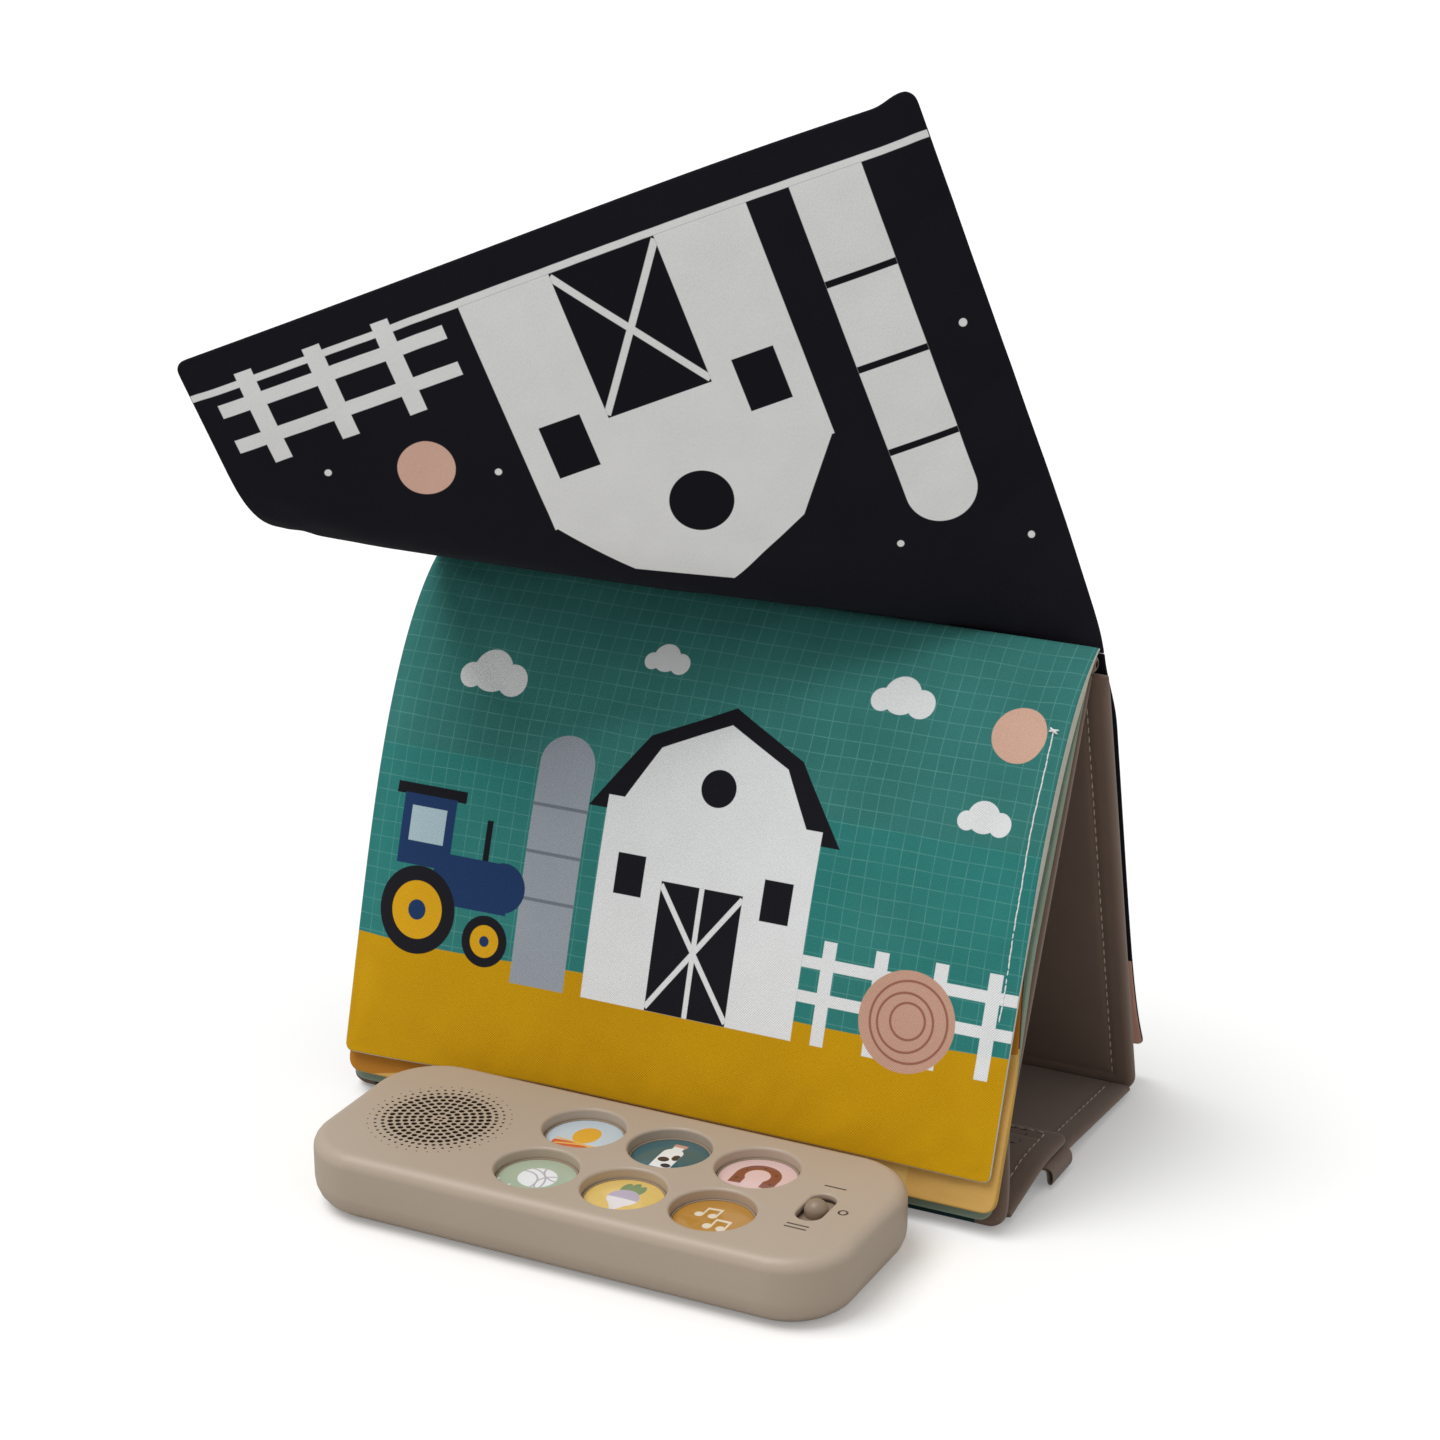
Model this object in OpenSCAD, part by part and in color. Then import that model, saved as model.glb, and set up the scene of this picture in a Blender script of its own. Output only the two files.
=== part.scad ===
// Flip-over cloth book with a sound module, in millimetres, +Z up.
// The origin is the middle of the module's underside. The book stands behind it.

/* [Sound module] */
// Length of the sound module, left to right
mod_l = 169; // [152:1:200]
// Depth of the sound module, front to back
mod_d = 68; // [66:1:72]
// Height of the sound module
mod_h = 21.5; // [21.5:0.5:28]
// Corner radius of the module in plan
mod_r = 20; // [18:1:24]
// Radius of the module's top edge
top_r = 4; // [3.5:0.5:6]
// Radius of the module's bottom edge
bot_r = 9; // [6:0.5:10]
// Wall of the module's shell
wall = 2.4; // [2.2:0.1:2.8]

/* [Buttons and switch] */
// Distance between button centres, left to right, as a share of the module's length
pitch_k = 0.163; // [0.158:0.001:0.164]
// Distance between the two rows of buttons
pitch_y = 27.4; // [27:0.2:28]
// Bar of the shell left between two button wells
bar = 3.4; // [3.4:0.2:6]
// Depth of a button's picture below the top face
sink = 3; // [2.5:0.25:3.5]
// Travel of a button
press = 1.2; // [0.8:0.1:1.5]
// Travel of the switch knob to each side
throw = 3.5; // [2:0.5:4]
// Diameter of the switch knob
knob_d = 6.8; // [5:0.2:7]

/* [Speaker] */
// Diameter of the speaker's frame as a share of the module's length
spk_k = 0.212; // [0.18:0.004:0.212]
// Distance between rings of holes in the grille, as a share of the speaker's diameter
ring_k = 0.0605; // [0.056:0.0005:0.061]
// Diameter of a large hole in the grille, as a share of the distance between rings
hole_k = 0.8; // [0.5:0.05:0.82]

/* [Tent] */
// Width of the covers
cover_w = 217.4; // [195:0.2:235]
// How much narrower the front cover is, on its right
front_in = 2.4; // [0:0.2:4]
// Height of the ridge line that the covers turn about
ridge_z = 149; // [135:1:165]
// Depth position of the ridge line
ridge_y = 108; // [100:1:116]
// Depth position of the front cover's bottom edge
foot_f = 45.5; // [45:0.5:47]
// Depth position of the rear cover's bottom edge
foot_r = 146; // [142:1:156]
// Thickness of a cover
cover_t = 4.4; // [3.6:0.2:5]
// Sideways position of the tent's middle
tent_x = -5.8; // [-10:0.1:10]
// Height of the flaps' overlap over the table
bow = 3.6; // [3.4:0.1:5]

/* [Leaves] */
// Width of a leaf
leaf_w = 211; // [190:1:230]
// How much wider a leaf is at the ridge, on its right
flare = 3.5; // [0:0.5:4]
// Length of a leaf from the ridge to its hem
leaf_l = 160; // [140:1:160]
// Thickness of a padded leaf at its middle
belly = 3.2; // [2.6:0.1:3.4]
// Thickness of a leaf's sewn hem
hem = 0.9; // [0.7:0.1:1]
// Thickness of a leaf's cloth
cloth = 0.5; // [0.4:0.1:0.6]
// Slope of the turned leaf where it leaves the ridge, degrees
turn_a = 19.4; // [15:0.5:25]
// Bend of the turned leaf across its diagonal fold, degrees
turn_bend = 63.8; // [50:1:75]
// Radius of that bend
turn_r = 21; // [16:1:26]

/* [Hidden] */
$fn = 48;
gap = 0.3;
e = 0.01;

// Heights inside the module, from its top face down
ceil_z = mod_h - wall;
collar = 2;
rim_t = 1.2;
rim_z = ceil_z - collar - 0.2 - rim_t;
post_h = 1.1;
post_z = rim_z - post_h;
dome_h = press - 0.2;
mat_t = 0.6;
mat_z = post_z - 0.1 - dome_h - mat_t;
pcb_t = 1.6;
pcb_z = mat_z - 0.1 - pcb_t;
floor_t = 2.2;
// Inset of the opening in the shell's underside
foot_in = bot_r + 0.6;

// Places in plan inside the module: buttons, switch, speaker and cells lie on one pitch
pitch_x = mod_l*pitch_k;
well_d = min(pitch_x, pitch_y) - bar;
spk_d = mod_l*spk_k;
hole_step = spk_d*ring_k;
hole_d = hole_step*hole_k;
grid_x = 0.498*pitch_x;
grid_y = -1;
cell_x = [for (j = [0, 1]) for (i = [-1, 0, 1]) [grid_x + i*pitch_x, grid_y + (j - 0.5)*pitch_y]];
sw_x = grid_x + 1.89*pitch_x;
spk_x = grid_x - 2.447*pitch_x;
boss_x = mod_l/2 - mod_r + 4.5;
boss_y = mod_d/2 - mod_r + 4.5;
boss_r = grid_x + 1.63*pitch_x;
boss_b = mod_d/2 - foot_in - 3.8;
bosses = [[-boss_x, -boss_y], [boss_r, -boss_b], [-boss_x, boss_y], [boss_r, boss_b]];
stand_x = [grid_x - 1.45*pitch_x, grid_x - 0.5*pitch_x, grid_x + 0.5*pitch_x, grid_x + 1.45*pitch_x];
slot_w = knob_d + 0.8;
well_f = 0.9;
slot_f = 0.7;
slot_l = knob_d + 2*throw + 2.2;
bat_x = grid_x + 0.945*pitch_x;
cell_d = 11.6;
cell_h = 5.4;
spk_r = spk_d/2;
flange_z = ceil_z - 1.6;

// Slopes and hinge lines of the tent
spine_r = 4.4;
spine_l = leaf_w + flare - 1;
cover_x = tent_x + 1.05;
foot_fz = cover_t/2*cos(slope_f0()) + 0.1;
foot_rz = cover_t/2*0.28 + 0.1;
slope_f = atan2(ridge_z - foot_fz, ridge_y - foot_f);
slope_r = atan2(ridge_z - foot_rz, ridge_y - foot_r);
len_f = norm([ridge_z - foot_fz, ridge_y - foot_f]) - spine_r - 0.5;
len_r = norm([ridge_z - foot_rz, foot_r - ridge_y]) - spine_r - 0.5;
sew_r = spine_r + 1.2;
// The inner half of each cover stops short of the ridge, where the two would meet
top_cut = (cover_t/2 + gap)/tan((slope_r - slope_f)/2) - spine_r - 0.5;
flap_t = 2.2;
flap_z = 2.6;
flap_fy = foot_f + 4.5;
flap_ry = foot_r - 3.4;
flap_w = cover_w - 0.6;
lap_y = (flap_fy + flap_ry)/2 - 11;
lap_h = 8;
low_z = bow + flap_t/2;
high_z = low_z + flap_t + 1.2;
patch_w = 12;

function slope_f0() = atan2(ridge_z, ridge_y - foot_f);

// A point over the front cover's middle plane and one over the rear cover's, n outward, s up the slope
function front_pt(x, n, s) = [x, ridge_y + s*cos(slope_f) - n*sin(slope_f),
  ridge_z + s*sin(slope_f) + n*cos(slope_f)];
function rear_pt(x, n, s) = [x, ridge_y + s*cos(slope_r) + n*sin(slope_r),
  ridge_z + s*sin(slope_r) - n*cos(slope_r)];

// Sewing lines of the turned leaf and the rear leaf: angle forward of straight up
function sew_y(a) = ridge_y - sew_r*sin(a);
function sew_z(a) = ridge_z + sew_r*cos(a);
function to_rn(y, z) = (y - ridge_y)*sin(slope_r) - (z - ridge_z)*cos(slope_r);
function to_rs(y, z) = (y - ridge_y)*cos(slope_r) + (z - ridge_z)*sin(slope_r);

// Thickness of a leaf over its width u and length v, both 0 to 1
function ease(x) = let (c = min(1, max(0, x))) c*c*(3 - 2*c);
function leaf_t(u, v) = hem + (belly - hem)*(1 - pow(abs(2*u - 1), 8))*ease(v/0.22)*(1 - pow(v, 12));

// Middle surface of a front leaf p: sewn at n = p[0] and s = p[1], hem at n = p[2], bulge p[3] at its left
// and p[4] at its right, length p[5]
function front_leaf_pt(u, v, p, k) = front_pt(tent_x + (u - 0.5)*leaf_w + flare*u*(1 - v),
  p[0] + (p[2] - p[0])*(1 - pow(1 - v, 6)) + (p[3]*(1 - u) + p[4]*u)*sin(180*pow(v, 0.65)) + k,
  p[1] - v*p[5]);

// Middle surface of the rear leaf
function rear_leaf_pt(u, v, a, n1, b, l, k) = let (n0 = to_rn(sew_y(a), sew_z(a)))
  rear_pt(tent_x + (u - 0.5)*leaf_w + flare*u, n0 + (n1 - n0)*(1 - pow(1 - v, 6)) + b*sin(180*pow(v, 0.65))
  + 6*pow(v, 8) + k, to_rs(sew_y(a), sew_z(a)) - v*l);

// Middle surface of the turned leaf: flat from the ridge, bent along a diagonal, flat again
turn_sew = 6;
fold_v = leaf_l*0.77;
fold_h = norm([leaf_w, fold_v]);
fold_d = [-leaf_w/fold_h, fold_v/fold_h];
fold_n = [fold_v/fold_h, leaf_w/fold_h];
near_d = [0, -cos(turn_a), sin(turn_a)];
fold_f3 = [fold_d[0], fold_d[1]*near_d[1], fold_d[1]*near_d[2]];
fold_m3 = [fold_n[0], fold_n[1]*near_d[1], fold_n[1]*near_d[2]];
fold_n3 = cross(fold_f3, fold_m3);
fold_off = -10.4;
bend_l = turn_r*turn_bend*PI/180;
function turn_flat(u, v) = let (
  s = fold_d[0]*(u - leaf_w) + fold_d[1]*v,
  q = fold_n[0]*(u - leaf_w) + fold_n[1]*v - fold_off,
  x = min(max(q + bend_l/2, 0), bend_l)/turn_r*180/PI,
  y = max(q - bend_l/2, 0),
  a = min(q, -bend_l/2) + turn_r*sin(x) + y*cos(turn_bend) + fold_off,
  b = turn_r*(1 - cos(x)) + y*sin(turn_bend))
  [tent_x + leaf_w/2, sew_y(turn_sew), sew_z(turn_sew)] + s*fold_f3 + a*fold_m3 + b*fold_n3;
function turn_mid(u, v) = turn_flat(u, v)
  + ([tent_x - leaf_w/2 + u*(1 + flare/leaf_w), sew_y(turn_sew), sew_z(turn_sew)] - turn_flat(u, 0))
  *pow(max(0, 1 - v/45), 2);
function unit(p) = p/norm(p);
function turn_pt(u, v, k) = let (g = 0.5, x = u*leaf_w, y = v*leaf_l)
  turn_mid(x, y) + k*unit(cross(turn_mid(x, y + g) - turn_mid(x, y - g),
  turn_mid(x + g, y) - turn_mid(x - g, y)));

// Closed solid between two grids of points
module between(t, b) {
  r = len(t);
  c = len(t[0]);
  o = r*c;
  p = concat([for (q = t) for (w = q) w], [for (q = b) for (w = q) w]);
  f = concat(
    [for (i = [0:r-2]) for (j = [0:c-2]) each
      [[i*c+j, i*c+j+1, (i+1)*c+j+1], [i*c+j, (i+1)*c+j+1, (i+1)*c+j]]],
    [for (i = [0:r-2]) for (j = [0:c-2]) each
      [[o+i*c+j, o+(i+1)*c+j+1, o+i*c+j+1], [o+i*c+j, o+(i+1)*c+j, o+(i+1)*c+j+1]]],
    [for (j = [0:c-2]) each [[j, o+j, o+j+1], [j, o+j+1, j+1]]],
    [for (j = [0:c-2]) let (k = (r-1)*c+j) each [[k, o+k+1, o+k], [k, k+1, o+k+1]]],
    [for (i = [0:r-2]) let (k = i*c) each [[k, o+k+c, o+k], [k, k+c, o+k+c]]],
    [for (i = [0:r-2]) let (k = i*c+c-1) each [[k, o+k, o+k+c], [k, o+k+c, k+c]]]);
  polyhedron(p, f);
}

// Ranges of u and v for a leaf's outside, its pocket and its wadding
function span(a, b, n) = [for (i = [0:n]) a + (b - a)*i/n];
in_u = span(0.05, 0.95, 6);
in_v = span(0.14, 0.93, 7);
out_u = concat([0], in_u, [1]);
out_v = concat([0, 0.02, 0.06], in_v, [1]);
function shrink(a) = [for (i = [0:len(a)-1]) i == 0 ? a[i] + 0.004 : i == len(a)-1 ? a[i] - 0.004 : a[i]];
wad_u = shrink(in_u);
wad_v = shrink(in_v);
pocket = 2*cloth;
slack = 0.16;

module front_leaf(p) {
  difference() {
    between([for (v = out_v) [for (u = out_u) front_leaf_pt(u, v, p, leaf_t(u, v)/2)]],
      [for (v = out_v) [for (u = out_u) front_leaf_pt(u, v, p, -leaf_t(u, v)/2)]]);
    front_fill(p, in_u, in_v, pocket);
  }
}
module front_fill(p, us, vs, off) {
  between([for (v = vs) [for (u = us) front_leaf_pt(u, v, p, (leaf_t(u, v) - off)/2)]],
    [for (v = vs) [for (u = us) front_leaf_pt(u, v, p, -(leaf_t(u, v) - off)/2)]]);
}
module back_leaf(a, n1, b, l) {
  difference() {
    between([for (v = out_v) [for (u = out_u) rear_leaf_pt(u, v, a, n1, b, l, -leaf_t(u, v)/2)]],
      [for (v = out_v) [for (u = out_u) rear_leaf_pt(u, v, a, n1, b, l, leaf_t(u, v)/2)]]);
    back_fill(a, n1, b, l, in_u, in_v, pocket);
  }
}
module back_fill(a, n1, b, l, us, vs, off) {
  between([for (v = vs) [for (u = us) rear_leaf_pt(u, v, a, n1, b, l, -(leaf_t(u, v) - off)/2)]],
    [for (v = vs) [for (u = us) rear_leaf_pt(u, v, a, n1, b, l, (leaf_t(u, v) - off)/2)]]);
}
turn_in_u = span(0.05, 0.95, 10);
turn_in_v = span(0.14, 0.93, 11);
turn_u = concat([0], turn_in_u, [1]);
turn_v = concat([0, 0.02, 0.06], turn_in_v, [1]);

// Draws the outer rows and columns of a grid of points in by a share t of their cells
function tuck_ends(g, t) = let (n = len(g) - 1)
  [for (i = [0:n]) i == 0 ? g[0] + t*(g[1] - g[0]) : i == n ? g[n] + t*(g[n-1] - g[n]) : g[i]];
function tuck(g, t) = [for (q = tuck_ends(g, t)) tuck_ends(q, t)];
module turn_fill(off, t) {
  between(tuck([for (v = turn_in_v) [for (u = turn_in_u) turn_pt(u, v, (leaf_t(u, v) - off)/2)]], t),
    tuck([for (v = turn_in_v) [for (u = turn_in_u) turn_pt(u, v, -(leaf_t(u, v) - off)/2)]], t));
}

// Numbers of the leaves: the front ones as front_leaf_pt takes them, then the rear leaf's sewing angle,
// hem offset, bulge and length
hem_n = cover_t/2 + 0.6 + belly/2;
lay = belly + 0.5;
sage_p = [spine_r + 1, 0, hem_n, 3, 2, leaf_l - 1];
ochre_p = [spine_r + 2.7, 0.4, hem_n + lay, 8, 4.5, leaf_l - 3];
teal_p = [spine_r + 4.4, 0.8, hem_n + 2*lay, 10, 7.5, leaf_l - 13];
rear_p = [-75, hem_n + 0.4, 0.5, leaf_l - 16];

// Rounded slab of the module: plan radius r, top edge radius t, bottom edge radius b, n facets
// to each edge
module slab(l, d, r, z0, z1, t, b, n) {
  prof = concat([[0, z0]],
    [for (i = [0:n]) [r - b + b*sin(i*90/n), z0 + b - b*cos(i*90/n)]],
    [for (i = [0:n]) [r - t + t*cos(i*90/n), z1 - t + t*sin(i*90/n)]], [[0, z1]]);
  hull() for (x = [-1, 1]) for (y = [-1, 1])
    translate([x*(l/2 - r), y*(d/2 - r), 0]) rotate_extrude($fn = 12*n) polygon(prof);
}
module plan(l, d, r, z0, z1) {
  translate([-l/2 + r, -d/2, z0]) cube([l - 2*r, d, z1 - z0]);
  translate([-l/2, -d/2 + r, z0]) cube([l, d - 2*r, z1 - z0]);
  for (x = [-1, 1]) for (y = [-1, 1])
    translate([x*(l/2 - r), y*(d/2 - r), z0]) cylinder(r = r, h = z1 - z0);
}
module tube(p, r, z0, z1) {
  translate([p[0], p[1], z0]) cylinder(r = r, h = z1 - z0);
}
module oval(p, w, l, z0, z1) {
  translate([p[0] - w/2, p[1] - l/2 + w/2, z0]) cube([w, l - w, z1 - z0]);
  for (k = [-1, 1]) tube([p[0], p[1] + k*(l/2 - w/2)], w/2, z0, z1);
}

module upper_shell() color([0.69, 0.62, 0.54]) {
  difference() {
    union() {
      difference() {
        slab(mod_l, mod_d, mod_r, 0, mod_h, top_r, bot_r, 6);
        slab(mod_l - 2*wall, mod_d - 2*wall, mod_r - wall, wall, ceil_z, top_r - 2, bot_r - wall, 3);
        plan(mod_l - 2*foot_in, mod_d - 2*foot_in, mod_r - foot_in, -5, wall + 1);
      }
      for (p = cell_x) difference() {
        tube(p, well_d/2 + 1.2, ceil_z - collar, ceil_z + e);
        tube(p, well_d/2, ceil_z - collar - 1, ceil_z + 1);
      }
      for (p = bosses) difference() {
        tube(p, 3.2, floor_t + 0.1, ceil_z + e);
        tube(p, 1.2, floor_t - 1, ceil_z - 4);
      }
      for (x = stand_x) difference() {
        tube([x, grid_y], 2.4, pcb_z + pcb_t, ceil_z + e);
        tube([x, grid_y], 1, pcb_z, pcb_z + 6.4);
      }
      for (a = [90, 210, 330]) difference() {
        tube(spk_hole(a), 2.4, flange_z - 1.2, ceil_z + e);
        tube(spk_hole(a), 0.9, flange_z - 2, ceil_z - 0.4);
      }
    }
    for (p = cell_x) tube(p, well_d/2, ceil_z - 1, mod_h + 1);
    oval([sw_x, grid_y], slot_w, slot_l, ceil_z - 1, mod_h + 1);
    for (p = cell_x) translate([p[0], p[1], 0]) rotate_extrude() lip(well_d/2, well_f);
    for (k = [-1, 1]) {
      translate([sw_x, grid_y + k*(slot_l - slot_w)/2, 0]) rotate_extrude() lip(slot_w/2, slot_f);
      translate([sw_x, grid_y + k*(slot_l - slot_w)/2, 0]) rotate([90, 0, 90 - 90*k])
        linear_extrude(slot_l - slot_w) lip(slot_w/2, slot_f);
    }
    holes(1, 4, 0.75*hole_d, ceil_z - 1);
    for (k = [2:7]) holes(k, 6*k - 2, hole_d, ceil_z - 1);
    holes(8, 50, 0.7*hole_d, mod_h - 0.7);
    holes(9, 48, 0.52*hole_d, mod_h - 0.7);
    holes(10, 42, 0.3*hole_d, mod_h - 0.5);
    mark([sw_x, grid_y + slot_l/2 + 4.3]);
    mark([sw_x, grid_y - slot_l/2 - 3.6]);
    mark([sw_x, grid_y - slot_l/2 - 5.4]);
    difference() {
      tube([sw_x + slot_w/2 + 4.2, grid_y], 1.5, mod_h - 0.4, mod_h + 1);
      tube([sw_x + slot_w/2 + 4.2, grid_y], 0.9, mod_h - 1, mod_h + 2);
    }
    translate([-tongue_l/2 - 0.5, mod_d/2 - foot_in - 1, -1]) cube([tongue_l + 1, foot_in + 2, 2.5]);
  }
}
module mark(p) translate([p[0] - 3.1, p[1] - 0.3, mod_h - 0.4]) cube([6.2, 0.6, 2]);
// Ring k of the grille: n holes of diameter d, down to z
module holes(k, n, d, z) for (i = [0:n-1]) let (a = 360*(i + 0.5*(k%2))/n, r = hole_step*(k - 0.46))
  tube([spk_x + r*cos(a), grid_y + r*sin(a)], d/2, z, mod_h + 1);
// Section of what is cut off to round the top edge of an opening of radius r, with edge radius f
module lip(r, f) polygon(concat([[r - 0.3, mod_h + 0.3], [r - 0.3, mod_h - f]],
  [for (i = [0:6]) [r + f - f*cos(15*i), mod_h - f + f*sin(15*i)]], [[r + f, mod_h + 0.3]]));
function spk_hole(a) = [spk_x + (spk_r + 4.2)*cos(a), grid_y + (spk_r + 4.2)*sin(a)];

module lower_plate() color([0.66, 0.6, 0.52]) {
  difference() {
    union() {
      plan(mod_l - 2*foot_in - 0.4, mod_d - 2*foot_in - 0.4, mod_r - foot_in - 0.2, 0, floor_t);
      translate([bat_x - 21.5, grid_y - 8.6, floor_t - e]) cube([43, 17.2, cell_h + 2.2]);
      tube([bat_x + 26, grid_y], 3, floor_t - e, floor_t + 5);
    }
    for (p = bosses) {
      tube(p, 2.8, -1, 1.2);
      tube(p, 1.4, -1, 3);
    }
    translate([bat_x - 24.3, grid_y - 9.3, -1]) cube([54.6, 18.6, 2.4]);
    translate([bat_x - 19.6, grid_y - 6.7, -1]) cube([39.2, 13.4, cell_h + 4.4]);
    tube([bat_x + 26, grid_y], 0.9, -1, floor_t + 4);
    translate([-tongue_l/2 - 0.5, mod_d/2 - foot_in - 8.5, -1]) cube([tongue_l + 1, 10, 2.5]);
  }
}
module shell_screws() color([0.6, 0.6, 0.62]) for (p = bosses) {
  tube(p, 2.4, 0.2, 1.1);
  tube(p, 1, 1, 10);
}
module battery_door() color([0.66, 0.6, 0.52]) difference() {
  union() {
    translate([bat_x - 24, grid_y - 9, 0.1]) cube([54, 18, 1.2]);
    translate([bat_x - 19.2, grid_y - 6.3, 1.2]) cube([38.4, 12.6, 0.7]);
  }
  tube([bat_x + 26, grid_y], 1.3, -1, 3);
  tube([bat_x + 26, grid_y], 2.3, -1, 0.7);
}
module battery_door_screw() color([0.6, 0.6, 0.62]) {
  tube([bat_x + 26, grid_y], 2, 0.2, 0.7);
  tube([bat_x + 26, grid_y], 0.75, 0.6, 6);
}
module button_cells() color([0.75, 0.75, 0.77])
  for (i = [-1, 0, 1]) tube([bat_x + i*12.6, grid_y], cell_d/2, 2.4, 2.4 + cell_h);
module battery_contacts() color([0.72, 0.7, 0.6]) {
  translate([bat_x - 18.6, grid_y - 3, cell_h + 2.5]) cube([24, 6, 0.4]);
  translate([bat_x + 8.6, grid_y - 3, cell_h + 2.5]) cube([10, 6, 0.4]);
  translate([bat_x - 18.6, grid_y - 3, 1.9]) cube([10, 6, 0.4]);
  translate([bat_x - 6, grid_y - 3, 1.9]) cube([24, 6, 0.4]);
}
module circuit_board() color([0.12, 0.4, 0.24]) {
  x0 = grid_x - 1.45*pitch_x - 3.5;
  x1 = mod_l/2 - foot_in - 0.5;
  y1 = mod_d/2 - foot_in - 0.5;
  difference() {
    translate([x0, -y1, pcb_z]) cube([x1 - x0, 2*y1, pcb_t]);
    for (x = stand_x) tube([x, grid_y], 1.1, pcb_z - 1, pcb_z + pcb_t + 1);
    for (y = [-1, 1]) translate([boss_r - 4, y*(boss_b + 10) - 14, pcb_z - 1])
      cube([30, 28, pcb_t + 2]);
  }
}
module board_screws() color([0.6, 0.6, 0.62]) for (x = stand_x) {
  tube([x, grid_y], 2, pcb_z - 1, pcb_z);
  tube([x, grid_y], 0.85, pcb_z - e, pcb_z + 6);
}
module sound_chip() color([0.08, 0.08, 0.09]) {
  tube([grid_x - 0.98*pitch_x, grid_y - 13], 5, pcb_z - 1.2, pcb_z);
}
module keypad_mat() color([0.85, 0.85, 0.82]) difference() {
  union() {
    translate([grid_x - 1.5*pitch_x, grid_y - pitch_y/2 - 10.2, mat_z])
      cube([3*pitch_x, pitch_y + 20.4, mat_t]);
    for (p = cell_x) translate([p[0], p[1], mat_z + mat_t - e]) cylinder(r1 = 6, r2 = 4.4, h = dome_h + e);
  }
  for (x = stand_x) tube([x, grid_y], 2.8, mat_z - 1, mat_z + mat_t + 1);
}
module slide_switch() color([0.15, 0.15, 0.16]) difference() {
  translate([sw_x - 4, grid_y - 7, pcb_z + pcb_t]) cube([8, 14, 2.4]);
  translate([sw_x - 1, grid_y - throw - 1.5, pcb_z + pcb_t + 1.2]) cube([2, 2*throw + 3, 3]);
}
module speaker_gasket() color([0.2, 0.2, 0.2]) translate([spk_x, grid_y, 0]) difference() {
  translate([0, 0, flange_z + 1]) cylinder(r = spk_r, h = 0.5);
  translate([0, 0, flange_z]) cylinder(r = spk_r - 2.5, h = 3);
}
module speaker_basket() color([0.5, 0.5, 0.52]) translate([spk_x, grid_y, 0]) rotate_extrude()
  polygon([[spk_r, flange_z + 1], [spk_r, flange_z], [spk_r - 1.6, flange_z], [9.5, flange_z - 5],
    [3, flange_z - 5], [3, flange_z - 4], [8.8, flange_z - 4], [spk_r - 2.4, flange_z + 1]]);
module speaker_cone() color([0.16, 0.16, 0.17]) translate([spk_x, grid_y, 0]) rotate_extrude()
  polygon([[0, flange_z - 1.8], [5, flange_z - 2.6], [spk_r - 4, flange_z + 0.7],
    [spk_r - 4, flange_z + 0.2], [5.2, flange_z - 3.3], [0, flange_z - 3.3]]);
module speaker_magnet() color([0.3, 0.3, 0.32]) translate([spk_x, grid_y, 0]) {
  translate([0, 0, flange_z - 8.2]) cylinder(r = 9, h = 3.2);
}
module speaker_clamp() color([0.6, 0.55, 0.48]) difference() {
  union() {
    tube([spk_x, grid_y], spk_r + 1.6, flange_z - 1.1, flange_z);
    for (a = [90, 210, 330]) tube(spk_hole(a), 2.4, flange_z - 2.2, flange_z - 1.2);
    for (a = [90, 210, 330]) translate([spk_x, grid_y, 0]) rotate([0, 0, a])
      translate([spk_r - 0.6, -2, flange_z - 2.2]) cube([3.8, 4, 1]);
    tube([spk_x, grid_y], spk_r + 1.6, flange_z - 2.2, flange_z - 1.05);
  }
  tube([spk_x, grid_y], spk_r - 0.8, flange_z - 5, flange_z + 2);
  for (a = [90, 210, 330]) tube(spk_hole(a), 1.1, flange_z - 5, flange_z + 2);
}
module speaker_screws() color([0.6, 0.6, 0.62]) for (a = [90, 210, 330]) {
  tube(spk_hole(a), 1.8, flange_z - 3, flange_z - 2.2);
  tube(spk_hole(a), 0.75, flange_z - 2.3, ceil_z - 0.8);
}
lead_z = pcb_z - 0.8;
module speaker_leads() color([0.7, 0.15, 0.12]) for (y = [-2, 2]) {
  translate([spk_x + 9.4, grid_y - 14 + y, lead_z]) rotate([0, 90, 0])
    cylinder(r = 0.5, h = stand_x[0] - spk_x - 8.4);
  translate([stand_x[0] + 0.5, grid_y - 14 + y, lead_z]) cylinder(r = 0.5, h = pcb_z - lead_z - 0.05);
}
tongue_l = mod_l - 2*mod_r - 21;
tongue_y = foot_f - cover_t/2 - 0.5;
module module_tongue() color([0.1, 0.22, 0.23])
  translate([-tongue_l/2, mod_d/2 - foot_in - 8, 0.2]) cube([tongue_l, tongue_y - mod_d/2 + foot_in + 8, 1]);

module button_cap(p) color([0.72, 0.66, 0.58]) {
  difference() {
    union() {
      tube(p, well_d/2 + 0.8, rim_z, rim_z + rim_t);
      tube(p, well_d/2 - gap, rim_z, mod_h - sink - 0.2);
    }
    tube(p, well_d/2 - 0.7, mod_h - sink - 0.8, mod_h);
    difference() {
      tube(p, well_d/2 - 2.2, rim_z - 1, mod_h - sink - 1.8);
      tube(p, 4, rim_z - 2, mod_h);
    }
  }
  tube(p, 4, post_z, rim_z + 0.1);
}
disc_r = well_d/2 - 0.8;
module picture_disc(p, c) color(c) translate([p[0], p[1], mod_h - sink]) rotate_extrude()
  polygon(concat([[0, -0.8], [disc_r, -0.8]],
    [for (i = [6:-1:0]) [disc_r*i/6, 0.3 - 0.7*pow(i/6, 2)]]));
module button_cap_1() button_cap(cell_x[0]);
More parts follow.
